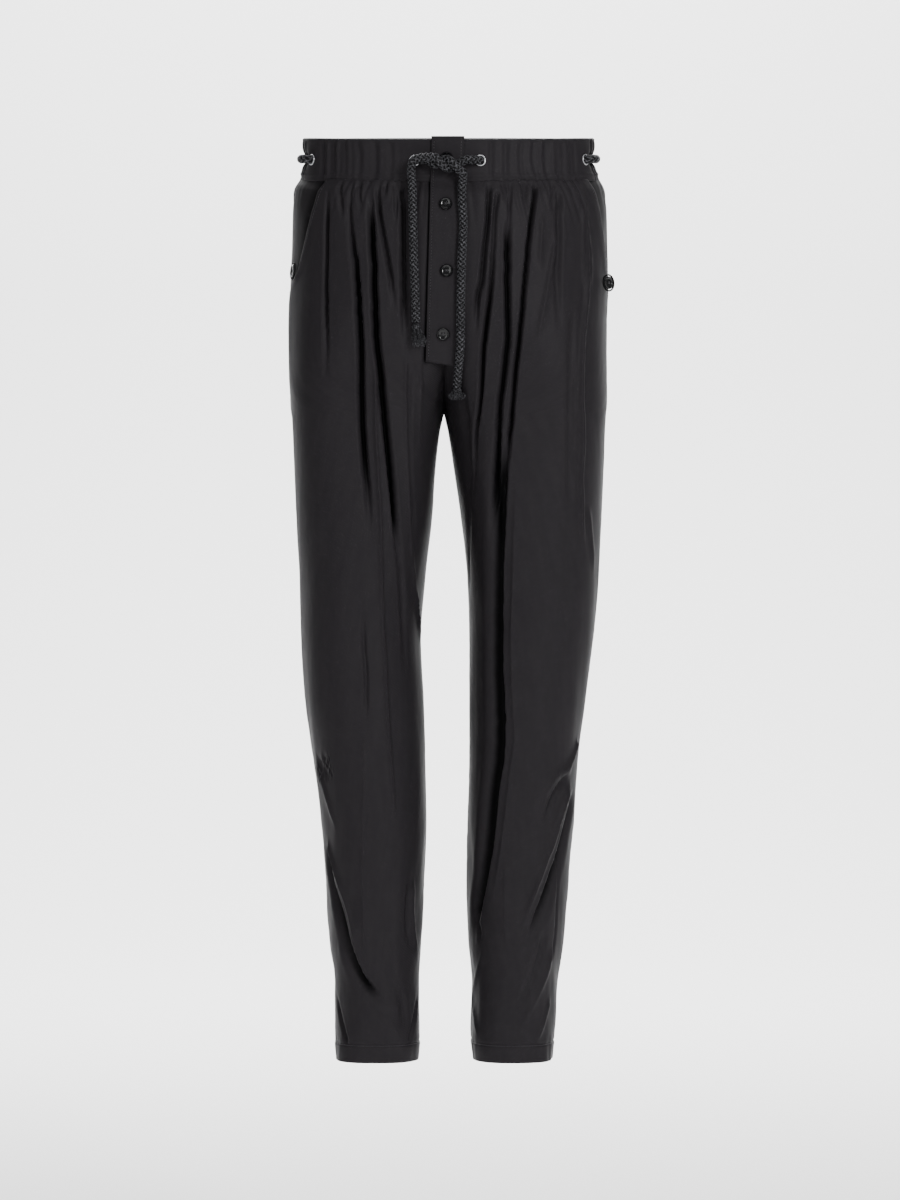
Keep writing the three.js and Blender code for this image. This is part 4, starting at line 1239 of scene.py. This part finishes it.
    def stitch(self, wardrobe: Wardrobe) -> None:
        """Sews the hem, and a front panel's pocket mouth."""
        u, v = np.meshgrid(np.linspace(0, 1, self.columns + 1), np.linspace(0, 1, self.rows + 1))
        points, flat, _ = self.place(u, v)
        level = flat[:, 0, 1]
        row = int(np.argmin(np.abs(level - self.form.hem - self.hem_depth + 1.5)))
        Stitching(f"{self.name}_hem_stitches").build(points[row], points[row - 2], wardrobe)
        if self.face > 0:
            return
        mouth = np.flatnonzero((level < self.form.waist_seam - 4) & (level > self.pocket_closes))

        def beside(k: int, away: float) -> list[float]:
            """The point of a row that lies so far from its outer edge."""
            return [np.interp(flat[k, -1, 0] - away, flat[k, :, 0], points[k, :, i]) for i in range(3)]

        line, inward = (np.array([beside(k, away) for k in mouth]) for away in (5.0, 8.0))
        Stitching(f"{self.name}_pocket_stitches").build(line, inward, wardrobe)


@dataclass
class PocketFacing:
    """The piece behind a slanted pocket mouth."""

    panel: LegPanel
    deepest: float = -174
    sunk: float = 2.2
    thickness: float = 1.2
    mesh: tuple[int, int] = (48, 96)

    def place(self, u: Array, v: Array) -> tuple[Array, Array]:
        """Lays out the facing; see grid_piece."""
        p = self.panel
        level = p.form.waist_seam + 1.5 + (self.deepest - p.form.waist_seam - 1.5) * v[:, :1]
        clipped = np.maximum(level, p.pocket_end)
        mouth = p.short_of_seam(clipped) + p.pocket_under
        degrees = mouth * u
        under = smooth(0, mouth - 2 * p.pocket_under, degrees)
        under = under + (1 - under) * np.clip((p.pocket_end - level) / (p.pocket_end - p.pocket_closes), 0, 1)
        point, normal = p.form.skin(p.side, -np.radians(degrees), level)
        steps = np.linalg.norm(np.diff(point, axis=1), axis=-1)
        s = np.concatenate([np.zeros_like(level), np.cumsum(steps, axis=1)], axis=1)
        lift = -self.sunk * under + 0.35 * Ripple(p.seed + 9, 16, 40)(s, level) * smooth(0, 8, s)
        puckers = Ripple(p.seed + 10, 5, 45)(s, level) * smooth(-75, -25, level)
        lift = lift + 0.9 * puckers * smooth(0, 8, s) * (1 - under)
        lift = lift - 0.7 * hump(s, 1.6) * (1 - under)
        lift = lift - 1.6 * smooth(p.form.waist_seam - 7, p.form.waist_seam, level) * (1 - under)
        # painted shade: the facing is darkened all over, and most under the front panel's edge at the mouth
        shade = 0.25 + 0.6 * smooth(mouth - 13, mouth - p.pocket_under, degrees)
        return point + normal * lift[..., None], np.stack([s, level + 0 * s], axis=-1), shade

    def build(self, wardrobe: Wardrobe) -> bpy.types.Object:
        """Makes and dresses the facing."""
        side = self.panel.side
        node = f"pocket_facing_{side.name.lower()}"
        obj = grid_piece(f"{node}_cloth", *self.mesh, self.place, np.array([side, -0.4, 0]))
        thicken(obj, self.thickness)
        dress(obj, wardrobe.cloth, node)
        return obj


@dataclass
class Waistband:
    """The elastic waistband, puckered all round, with a stitched lower edge."""

    form: Form
    columns: int = 760
    rows: int = 30
    puckers: int = 56
    depth: float = 1.7
    thickness: float = 2.2
    channel: float = 5.2  # how far the band is pressed in under the cord
    channel_height: float = 7
    channel_from: float = 21.5  # degrees from the side seam
    channel_full: float = 15
    side_eyelet: float = 25  # degrees
    front_eyelet: float = 36
    drill: float = 5.2
    top_slope: float = 1.8  # how much lower the top lies in front
    top_tuck: float = 1.6
    seam_tuck: float = 1.3
    girth: float = 890

    def eyelets(self) -> list[tuple[str, Array, Array]]:
        """Each eyelet's node, centre and normal."""
        places = []
        for side in Side:
            front = self.form.angle_at(side, Face.FRONT, np.array(0.0), np.array(self.front_eyelet))
            for word, angle in (("front", front), ("side", -np.radians(self.side_eyelet))):
                point, normal = self.form.skin(side, angle, 0.0, np.array(0.0))
                places.append((f"eyelet_{word}_{side.name.lower()}", point, normal))
        return places

    def puckering(self, u: Array, s: Array, level: Array) -> Array:
        """The height of the uneven puckers, flatter by the band's stitched edges."""
        top, seam = self.form.waist_top, self.form.waist_seam
        wander = 0.9 * Ripple(61, 40, 300)(s, level) + 0.25 * Ripple(62, 30, 26)(s, level)
        phase = 2 * math.pi * self.puckers * u + 2.2 * wander
        size = 0.9 + 0.8 * Ripple(63, 17, 22)(s, level)
        wave = size * (np.cos(phase) - 1) / 2 + 0.22 * np.cos(2.1 * phase + 1.3)
        flat_top = 0.25 + 0.75 * smooth(top - 2, top - 9, level)
        flat_seam = 0.55 + 0.45 * smooth(seam + 2, seam + 8, level)
        return self.depth * wave * flat_top * flat_seam

    def place(self, u: Array, v: Array) -> tuple[Array, Array]:
        """Lays out the band; see grid_piece."""
        top, seam = self.form.waist_top, self.form.waist_seam
        turn = -math.pi / 2 + 2 * math.pi * u
        start = top - 1.6 - self.top_slope * smooth(-0.6, 0.6, np.sin(turn))
        level = start + (seam - 0.6 - start) * v
        angle = np.where(u <= 0.5, turn, math.pi - turn)
        left, right = (self.form.skin(side, angle, level) for side in (Side.LEFT, Side.RIGHT))
        point, normal = (np.where((u <= 0.5)[..., None], left[k], right[k]) for k in range(2))
        s = u * self.girth
        forwards = -np.degrees(angle)
        across, y = np.abs(point[..., 0]), point[..., 1]
        beside_fly = np.where(y > 0, 1.0, smooth(self.front_eyelet + 6, self.front_eyelet + 14, across))
        beside_eyelet = smooth(5, 9, np.abs(forwards - self.side_eyelet))
        lift = self.puckering(u, s, level) * beside_fly * beside_eyelet
        pressed = smooth(self.channel_from, self.channel_full, forwards) * hump(level, self.channel_height)
        lift = lift - self.channel * pressed
        for height, at, width in ((-0.5, top - 6, 1.2), (-0.6, seam + 3, 1.2), (0.8, seam + 6, 1.5)):
            lift = lift + height * hump(level - at, width)
        lift = lift - self.top_tuck * smooth(start - 1.8, start, level) ** 2
        lift = lift - self.seam_tuck * smooth(seam + 3.5, seam - 0.5, level)
        return point + normal * lift[..., None], np.stack([s, level], axis=-1)

    def build(self, wardrobe: Wardrobe) -> bpy.types.Object:
        """Makes and dresses the band, with its eyelet holes cut."""
        obj = grid_piece("waistband_casing", self.columns, self.rows, self.place, np.array([0, 1.0, 0]))
        bm = bmesh.new()
        bm.from_mesh(obj.data)
        centres = [Vector(point * MM) for _, point, _ in self.eyelets()]
        drill = self.drill * MM
        holes = [f for f in bm.faces if any((f.calc_center_median() - c).length < drill for c in centres)]
        bmesh.ops.delete(bm, geom=holes, context="FACES")
        bm.to_mesh(obj.data)
        bm.free()
        thicken(obj, self.thickness)
        dress(obj, wardrobe.cloth, "waistband")
        return obj


@dataclass
class Placket:
    """The button placket, stiff enough to span the hollow between the legs."""

    form: Form
    width: float = 36
    top: float = 0.5
    bottom: float = -6
    end: float = -236
    spans: float = -60
    spans_over: float = 70
    lift: float = 1.2
    thickness: float = 1.6
    slant: float = 5.5  # of its foot
    groove: float = 0.45  # along its stitching
    roll: float = 0.8  # of its edges
    mesh: tuple[int, int] = (40, 150)

    def middle(self, level: Array) -> Array:
        """The placket's middle at a level."""
        t = (level - self.form.waist_top) / (self.end - self.form.waist_top)
        return self.top + (self.bottom - self.top) * t

    def surface(self, x: Array | float, level: Array | float, out: Array | float = 0) -> tuple[Array, Array]:
        """Points and normals on the placket by their distance x from the centre."""
        x, level = np.broadcast_arrays(np.asarray(x, float), np.asarray(level, float))
        middle = self.middle(level)
        low, low_n = self.form.front(middle - self.width / 2, level, out)
        high, high_n = self.form.front(middle + self.width / 2, level, out)
        own, own_n = self.form.front(x, level, out)
        t = ((x - low[..., 0]) / (high[..., 0] - low[..., 0]))[..., None]
        spans = smooth(self.spans, self.spans - self.spans_over, level)[..., None]
        point = own + (low + (high - low) * t - own) * spans
        normal = own_n + (low_n + (high_n - low_n) * t - own_n) * spans
        return point, normal / np.linalg.norm(normal, axis=-1, keepdims=True)

    def place(self, u: Array, v: Array) -> tuple[Array, Array]:
        """Lays out the placket; see grid_piece."""
        level = self.form.waist_top + 0.6 + (self.end - self.form.waist_top - 0.6) * v
        level = level - self.slant * smooth(0.85, 1, v) * (u - 0.35)
        x = self.middle(level) + self.width * (u - 0.5)
        out = self.lift + self.thickness
        out = out + 0.45 * Ripple(71, 16, 34)(x, level) * smooth(0.0, 0.1, v)
        out = out - self.groove * (hump(u - 0.06, 0.025) + hump(u - 0.94, 0.025))
        out = out - self.roll * (smooth(0.03, 0, u) + smooth(0.97, 1, u) + smooth(0.994, 1, v))
        point, _ = self.surface(x, level, out)
        return point, np.stack([x, level], axis=-1)

    def build(self, wardrobe: Wardrobe) -> bpy.types.Object:
        """Makes and dresses the placket."""
        obj = grid_piece("fly_placket_cloth", *self.mesh, self.place, np.array([0, -1.0, 0]))
        thicken(obj, self.thickness)
        dress(obj, wardrobe.cloth, "fly_placket")
        v = np.linspace(0.02, 0.985, 200)[:, None]
        for word, u, beside in (("right", 0.09, 0.16), ("left", 0.91, 0.98)):
            line, further = (self.place(np.full_like(v, at), v)[0][:, 0] for at in (u, beside))
            inward = further if word == "right" else 2 * line - further
            Stitching(f"fly_placket_{word}_stitches").build(line, inward, wardrobe)
        return obj


# ------------------------------------------------------------------ stitching
@dataclass
class Stitching:
    """A row of lockstitches along a line on the cloth."""

    name: str
    pitch: float = 3.2
    length: float = 2.3
    width: float = 0.55
    height: float = 0.3

    def build(self, line: Array, inward: Array, wardrobe: Wardrobe) -> bpy.types.Object:
        """Makes and dresses the row.

        Args:
            line: points along it on the cloth's face, in mm.
            inward: for each point, another a little further into the panel.
        Returns:
            The new object.
        """
        far = run_along(line)
        marks = np.arange(self.pitch / 2, far[-1] - self.pitch / 2, self.pitch)
        bm = bmesh.new()
        for mark in marks:
            here, ahead, beside = (
                Vector([np.interp(at, far, way[:, k]) for k in range(3)])
                for way, at in ((line, mark), (line, mark + 1), (inward, mark))
            )
            along = (ahead - here).normalized()
            up = along.cross(beside - here).normalized()
            turn = Matrix((along, up.cross(along), up)).transposed().to_4x4()
            size = Matrix.Diagonal((self.length / 2 * MM, self.width / 2 * MM, self.height * MM, 1))
            place = Matrix.Translation(here * MM) @ turn @ size
            bmesh.ops.create_icosphere(bm, subdivisions=1, radius=1, matrix=place)
        obj = add_bmesh(self.name, bm)
        obj.data.materials.append(wardrobe.thread)
        return obj


# ------------------------------------------------------------------ buttons and eyelets
def facing(point: Array, normal: Array) -> Matrix:
    """Stands a piece turned on its Z axis at a point in mm, facing along a normal."""
    turn = Vector(normal).to_track_quat("Z", "Y").to_matrix().to_4x4()
    return Matrix.Translation(Vector(point * MM)) @ turn


def spun(outline: Sequence[tuple[float, float]], steps: int) -> bmesh.types.BMesh:
    """A bmesh of an outline of (radius, height) in mm spun about the Z axis."""
    bm = bmesh.new()
    verts = [bm.verts.new((r * MM, 0, z * MM)) for r, z in outline]
    edges = [bm.edges.new(pair) for pair in zip(verts, verts[1:])]
    bmesh.ops.spin(
        bm, geom=verts + edges, axis=(0, 0, 1), cent=(0, 0, 0), angle=2 * math.pi, steps=steps, use_merge=True
    )
    bmesh.ops.remove_doubles(bm, verts=bm.verts, dist=1e-6)
    bmesh.ops.recalc_face_normals(bm, faces=bm.faces)
    return bm


@dataclass
class Button:
    """A four-hole button, its rim raised round a dished face, sewn on with a cross of thread."""

    node: str
    place: Matrix
    radius: float = 7.2
    rim: float = 2.6
    dish: float = 1.5
    hole: float = 0.85
    spread: float = 1.9

    def build(self, wardrobe: Wardrobe) -> bpy.types.Object:
        """Makes and dresses the button and its thread."""
        r = self.radius
        outline = [
            (0, 0), (r - 1.3, 0), (r - 0.4, 0.35), (r, 1.1), (r - 0.25, 2.0), (r - 0.8, self.rim),
            (r - 1.4, self.rim - 0.05), (r - 2.0, self.dish + 0.35), (r - 2.7, self.dish), (0, self.dish),
        ]
        obj = add_bmesh(f"{self.node}_disc", spun(outline, 40))
        cutter = bmesh.new()
        for k in range(4):
            angle = math.pi / 4 + k * math.pi / 2
            where = Vector((math.cos(angle), math.sin(angle), 0)) * self.spread * MM
            bmesh.ops.create_cone(
                cutter, cap_ends=True, segments=12, radius1=self.hole * MM, radius2=self.hole * MM,
                depth=4 * self.rim * MM, matrix=Matrix.Translation(where),
            )
        knife = add_bmesh("button_knife", cutter)
        cut = obj.modifiers.new("holes", "BOOLEAN")
        cut.operation, cut.solver, cut.object = "DIFFERENCE", "EXACT", knife
        view = bpy.context.evaluated_depsgraph_get()
        mesh = bpy.data.meshes.new_from_object(obj.evaluated_get(view))
        obj.modifiers.clear()
        obj.data = mesh
        bpy.data.objects.remove(knife)
        mesh.transform(self.place)
        mesh.polygons.foreach_set("use_smooth", [True] * len(mesh.polygons))
        split = obj.modifiers.new("crisp rim", "EDGE_SPLIT")
        split.split_angle = math.radians(38)
        dress(obj, wardrobe.resin, self.node)
        self.sew(wardrobe)
        return obj

    def sew(self, wardrobe: Wardrobe) -> None:
        """Makes the cross of thread through the holes."""
        bm = bmesh.new()
        for k in (0, 1):
            angle = math.pi / 4 + k * math.pi / 2
            for offset in (-0.28, 0.28):
                turn = Matrix.Rotation(angle, 4, "Z")
                made = bmesh.ops.create_cube(bm, size=1.0)["verts"]
                bmesh.ops.scale(bm, verts=made, vec=(2 * self.spread * MM, 0.45 * MM, 0.4 * MM))
                shift = Vector((0, offset * MM, (self.dish + 0.2 + 0.16 * k) * MM))
                bmesh.ops.translate(bm, verts=made, vec=shift)
                bmesh.ops.transform(bm, matrix=turn, verts=made)
        edges = list(bm.edges)
        bmesh.ops.bevel(
            bm, geom=edges, offset=0.15 * MM, segments=2, profile=0.5, affect="EDGES", material=-1
        )
        bmesh.ops.transform(bm, matrix=self.place, verts=bm.verts)
        thread = add_bmesh(f"{self.node}_thread", bm)
        thread.data.materials.append(wardrobe.thread)


@dataclass
class Eyelet:
    """A plated eyelet: a barrel with a rolled lip outside and a washer inside."""

    node: str
    place: Matrix
    flange: float = 6.3
    bore: float = 4.7
    barrel: float = 5.15

    def build(self, wardrobe: Wardrobe) -> bpy.types.Object:
        """Makes and dresses the eyelet."""
        out, inside = 0.35, -2.9
        f, b = self.flange, self.bore
        outline = [
            (b, inside - 0.9), (f - 0.6, inside - 0.9), (f - 0.5, inside - 0.5), (f - 0.6, inside),
            (self.barrel, inside), (self.barrel, out), (f - 0.1, out), (f, out + 0.3), (f - 0.25, out + 0.75),
            (f - 0.8, out + 1.0), (b + 0.35, out + 0.85), (b + 0.08, out + 0.45), (b, out), (b, inside - 0.9),
        ]
        bm = spun(outline, 40)
        bmesh.ops.transform(bm, matrix=self.place, verts=bm.verts)
        obj = add_bmesh(f"{self.node}_ring", bm)
        split = obj.modifiers.new("crisp edge", "EDGE_SPLIT")
        split.split_angle = math.radians(60)
        dress(obj, wardrobe.metal, self.node)
        return obj


# ------------------------------------------------------------------ drawcord
@dataclass
class Braid:
    """The surface of a round braid of so many carriers each way."""

    radius: float = 4.3
    carriers: int = 4
    lay: float = 21.0
    relief: float = 1.6

    def __call__(self, angle: Array, far: Array) -> Array:
        """The cord's radius at an angle round it and a distance along it."""
        turn = 2 * math.pi * far / self.lay
        p, q = (self.carriers / 2 * (angle + turn)), (self.carriers / 2 * (angle - turn))
        over = smooth(-0.25, 0.25, np.sin(p) * np.sin(q))
        strand = over * np.abs(np.cos(p)) + (1 - over) * np.abs(np.cos(q))
        return self.radius + self.relief * (strand - 0.6)


@dataclass
class Knot:
    """Where the two front ends wind round each other, in front of the placket."""

    start: tuple[float, float, float] = (-13, -16, 14.6)
    stop: tuple[float, float, float] = (12, -22, 14.6)
    radius: float = 4.65
    turn: float = -270
    steps: int = 8

    def winding(self, phase: float, backwards: bool) -> list[tuple[float, float, float]]:
        """One end's way through the knot, as x, height and distance out."""
        first, last, turn = self.start, self.stop, self.turn
        if backwards:
            first, last, turn = last, first, -turn
        places = []
        for i in range(self.steps + 1):
            t = i / self.steps
            angle = math.radians(phase + turn * t)
            x, z, out = (a + (b - a) * t for a, b in zip(first, last))
            places.append((x, z + self.radius * math.sin(angle), out + self.radius * math.cos(angle)))
        return places


@dataclass
class FrontEnd:
    """One front end of the drawcord, from its eyelet through the knot to its tassel."""

    node: str
    form: Form
    knot: Knot
    before: tuple[tuple[float, float, float], ...]
    phase: float
    backwards: bool
    after: tuple[tuple[float, float, float], ...]
    braid: Braid = field(default_factory=Braid)

    def path(self, step: float) -> Array:
        """The cord's centreline, in mm."""
        base = float(at_height(self.form.front, 0, self.knot.start[1], 0)[0][1])
        front = self.form.front
        laid = [[at_height(front, *place)[0] for place in part] for part in (self.before, self.after)]
        wound = [(x, base - out, z) for x, z, out in self.knot.winding(self.phase, self.backwards)]
        return rounded_curve([*laid[0], *wound, *laid[1]], step)

    def build(self, wardrobe: Wardrobe, tassel: bpy.types.Object) -> bpy.types.Object:
        path = self.path(0.75)
        obj = tube_piece(f"{self.node}_braid", path, self.braid, 40)
        dress(obj, wardrobe.cord, self.node)
        return obj


@dataclass
class BackCord:
    """The stretch of drawcord outside the band, round the back from side eyelet to side eyelet."""

    form: Form
    braid: Braid = field(default_factory=Braid)
    outs: tuple[tuple[float, float], ...] = (
        (25, -3), (25, 1), (24.4, 4.4), (21.5, 6.4), (17, 4.4), (12, 1.8), (6, 0.8), (0, 0.6), (-12, 0.6),
        (-25, 0.6), (-38, 0.6), (-52, 0.6), (-66, 0.6), (-80, 0.6),
    )

    def build(self, wardrobe: Wardrobe) -> bpy.types.Object:
        """Makes and dresses the cord."""
        turns, outs = (np.array(column, float) for column in zip(*self.outs))
        halves = [self.form.skin(side, -np.radians(turns), 0.0, outs)[0] for side in Side]
        path = rounded_curve([*halves[0], *halves[1][::-1]], 0.85)
        obj = tube_piece("drawcord_back_braid", path, self.braid, 36)
        dress(obj, wardrobe.cord, "drawcord_back")
        return obj


@dataclass
class Tassel:
    """The end of a cord: a bound head and loose strands below it."""

    node: str
    top: Array
    head: float
    strands: int
    length: float
    spread: float
    lean: float
    dome: float
    seed: int
    yarn: float = 0.45
    taper: float = 0.86
    steps: int = 6

    def build(self, wardrobe: Wardrobe) -> bpy.types.Object:
        """Makes and dresses the tassel."""
        rng = np.random.default_rng(self.seed)
        bm = bmesh.new()
        ball = Matrix.Diagonal((self.head * MM, self.head * MM, self.head * 1.1 * MM, 1))
        bmesh.ops.create_uvsphere(bm, u_segments=48, v_segments=32, radius=1, matrix=ball)
        for v in bm.verts:
            twist = math.atan2(v.co.y, v.co.x) * 6 + v.co.z / MM * 1.3
            v.co *= 0.94 + 0.07 * math.sin(twist)
        for i in range(self.strands):
            around, away = i * 2.4, math.sqrt((i + 0.5) / self.strands)
            out = Vector((math.cos(around), math.sin(around), 0))
            long = self.length * rng.uniform(0.7, 1.0)
            root = (out * 0.75 * away + Vector((0, 0, self.dome * (1.05 - away)))) * self.head
            tip = out * self.spread * away * rng.uniform(0.7, 1.1)
            tip += Vector((self.lean * rng.uniform(0.6, 1.3), 0, -long))
            bow = out * self.dome * self.head * 0.8 * away
            bow += Vector((rng.uniform(-1.4, 1.4), rng.uniform(-0.6, 0.2), 0))
            self.strand(bm, root, tip, bow)
        bmesh.ops.translate(bm, verts=bm.verts, vec=Vector(self.top * MM))
        obj = add_bmesh(f"{self.node}_threads", bm)
        # each point gets a random share of the pale speck colour, and more the further it lies from the top
        lit = rng.uniform(0.35, 1.0, len(obj.data.vertices))
        note(obj, "height", np.maximum(lit, relief_of(places_of(obj), self.top[None])))
        dress(obj, wardrobe.cord, self.node)
        return obj

    def strand(self, bm: bmesh.types.BMesh, root: Vector, tip: Vector, bow: Vector) -> None:
        """Adds one tapering strand by extruding a triangle along a bowed line."""
        place = Matrix.Translation(root * MM)
        made = bmesh.ops.create_circle(bm, cap_ends=True, segments=3, radius=self.yarn * MM, matrix=place)
        ring = made["verts"]
        face = next(f for f in bm.faces if set(f.verts) == set(ring))
        last = root
        for k in range(1, self.steps + 1):
            t = k / self.steps
            here = root.lerp(tip, t) + bow * math.sin(math.pi * t)
            face = self.push(bm, face, (here - last) * MM)
            last = here
            space = Matrix.Translation(-face.calc_center_median())
            bmesh.ops.scale(bm, verts=list(face.verts), vec=(self.taper,) * 3, space=space)

    @staticmethod
    def push(bm: bmesh.types.BMesh, face: bmesh.types.BMFace, move: Vector) -> bmesh.types.BMFace:
        """Extrudes one face by a move and gives the new end face."""
        made = bmesh.ops.extrude_face_region(bm, geom=[face])["geom"]
        bmesh.ops.translate(bm, verts=[g for g in made if isinstance(g, bmesh.types.BMVert)], vec=move)
        bmesh.ops.delete(bm, geom=[face], context="FACES_ONLY")
        return next(g for g in made if isinstance(g, bmesh.types.BMFace))


@dataclass
class PocketLoop:
    """The small cord loop round a pocket button."""

    node: str
    place: Matrix
    radius: float = 8.9
    thickness: float = 1.0

    def build(self, wardrobe: Wardrobe) -> bpy.types.Object:
        """Makes and dresses the loop."""
        bm = bmesh.new()
        where = Matrix.Translation((self.radius * MM, 0, 0)) @ Matrix.Rotation(math.pi / 2, 4, "X")
        ring = bmesh.ops.create_circle(bm, segments=12, radius=self.thickness * MM, matrix=where)["verts"]
        edges = [e for e in bm.edges if set(e.verts) <= set(ring)]
        bmesh.ops.spin(
            bm, geom=ring + edges, axis=(0, 0, 1), cent=(0, 0, 0), angle=2 * math.pi, steps=48, use_merge=True
        )
        bmesh.ops.remove_doubles(bm, verts=bm.verts, dist=1e-6)
        bmesh.ops.recalc_face_normals(bm, faces=bm.faces)
        bmesh.ops.transform(bm, matrix=self.place, verts=bm.verts)
        obj = add_bmesh(f"{self.node}_cord", bm)
        dress(obj, wardrobe.cord, self.node)
        return obj


def main() -> None:
    """Builds the studio and then the garment, piece by piece."""
    logging.basicConfig(level=logging.INFO, format="%(name)s: %(message)s")
    studio, form, wardrobe = Studio(), Form(), Wardrobe.build()
    studio.build_camera()

    knot = Knot()
    ends = (
        FrontEnd(
            "drawcord_right", form, knot,
            ((-36, -13.9, -3), (-36, -13.9, 1), (-34.8, -14, 5), (-29, -14.4, 8.4), (-21, -15.2, 10.4)),
            225, False,
            ((16.4, -30.5, 15.6), (16.2, -38.5, 12), (15.4, -49, 8.9), (15.6, -62, 7.4), (17, -84, 6.9),
             (15.6, -122, 6.9), (14.8, -166, 6.9), (15.8, -218, 6.6), (14.6, -246, 6), (14.4, -259, 6)),
        ),
        FrontEnd(
            "drawcord_left", form, knot,
            ((36, -13.9, -3), (36, -13.9, 1), (34.8, -14, 5), (28, -14.4, 8.6), (19.5, -15, 10.8)),
            135, True,
            ((-20, -13.4, 18.2), (-27.5, -13.8, 18), (-33.8, -16, 17.2), (-37.2, -21, 15), (-38, -29, 12),
             (-37.8, -38, 9), (-37.4, -57, 6.8), (-36.2, -122, 6.2), (-35, -166, 6.2), (-34.6, -192, 6.2)),
        ),
    )
    heads = {
        "drawcord_right": dict(head=5.6, strands=90, length=9.5, spread=7, lean=-1, dome=0.75, seed=5),
        "drawcord_left": dict(head=4.8, strands=80, length=22, spread=8.5, lean=4.5, dome=0.15, seed=6),
    }
    for end in ends:
        path = end.path(2.0)
        way = path[-1] - path[-3]
        drop = heads[end.node]["head"] * 1.08 + 0.3
        top = path[-1] + way / np.linalg.norm(way) * drop
        tassel = Tassel(end.node.replace("drawcord", "tassel"), top, **heads[end.node]).build(wardrobe)
        end.build(wardrobe, tassel)
        LOG.info("built %s", end.node)
    BackCord(form).build(wardrobe)

    tables = {
        (Side.RIGHT, Face.FRONT): FOLDS_FRONT_RIGHT, (Side.LEFT, Face.FRONT): FOLDS_FRONT_LEFT,
        (Side.RIGHT, Face.BACK): FOLDS_BACK_RIGHT, (Side.LEFT, Face.BACK): FOLDS_BACK_LEFT,
    }
    meshes = {Face.FRONT: (204, 236), Face.BACK: (170, 200)}
    panels = {
        key: LegPanel(*key, folds, form, studio, 11 + 7 * k, *meshes[key[1]])
        for k, (key, folds) in enumerate(tables.items())
    }
    for panel in panels.values():
        panel.build(wardrobe)
        LOG.info("built %s", panel.name)
    for side in Side:
        PocketFacing(panels[side, Face.FRONT]).build(wardrobe)
    band = Waistband(form)
    band.build(wardrobe)
    placket = Placket(form)
    placket.build(wardrobe)
    LOG.info("built the waistband, facings and placket")

    stand = placket.lift + placket.thickness + 0.35
    fly = ((-1, -12), (-2, -63), (-1, -136), (-4.6, -204.5))
    for number, (x, z) in enumerate(fly, start=1):
        Button(f"fly_button_{number}", facing(*at_height(placket.surface, x, z, stand))).build(wardrobe)
    gap, reach, loop_stand = 0.3, 8.5, 1.15
    for side, degrees, level, tip in ((Side.RIGHT, 18.5, -126.5, 0), (Side.LEFT, 20.5, -140.5, 25)):
        word = side.name.lower()
        out = gap + reach * math.sin(math.radians(tip))
        point, normal = form.skin(side, -np.radians(degrees), level, np.array(out))
        normal = np.array(Matrix.Rotation(-side * math.radians(tip), 3, "Z") @ Vector(normal))
        Button(f"pocket_button_{word}", facing(point, normal)).build(wardrobe)
        PocketLoop(f"pocket_loop_{word}", facing(point + loop_stand * normal, normal)).build(wardrobe)
    for node, point, normal in band.eyelets():
        Eyelet(node, facing(point, normal)).build(wardrobe)
    LOG.info("built the buttons, loops and eyelets")

    studio.build_light()
    studio.build_paper(wardrobe.paper)


if __name__ == "__main__":
    main()
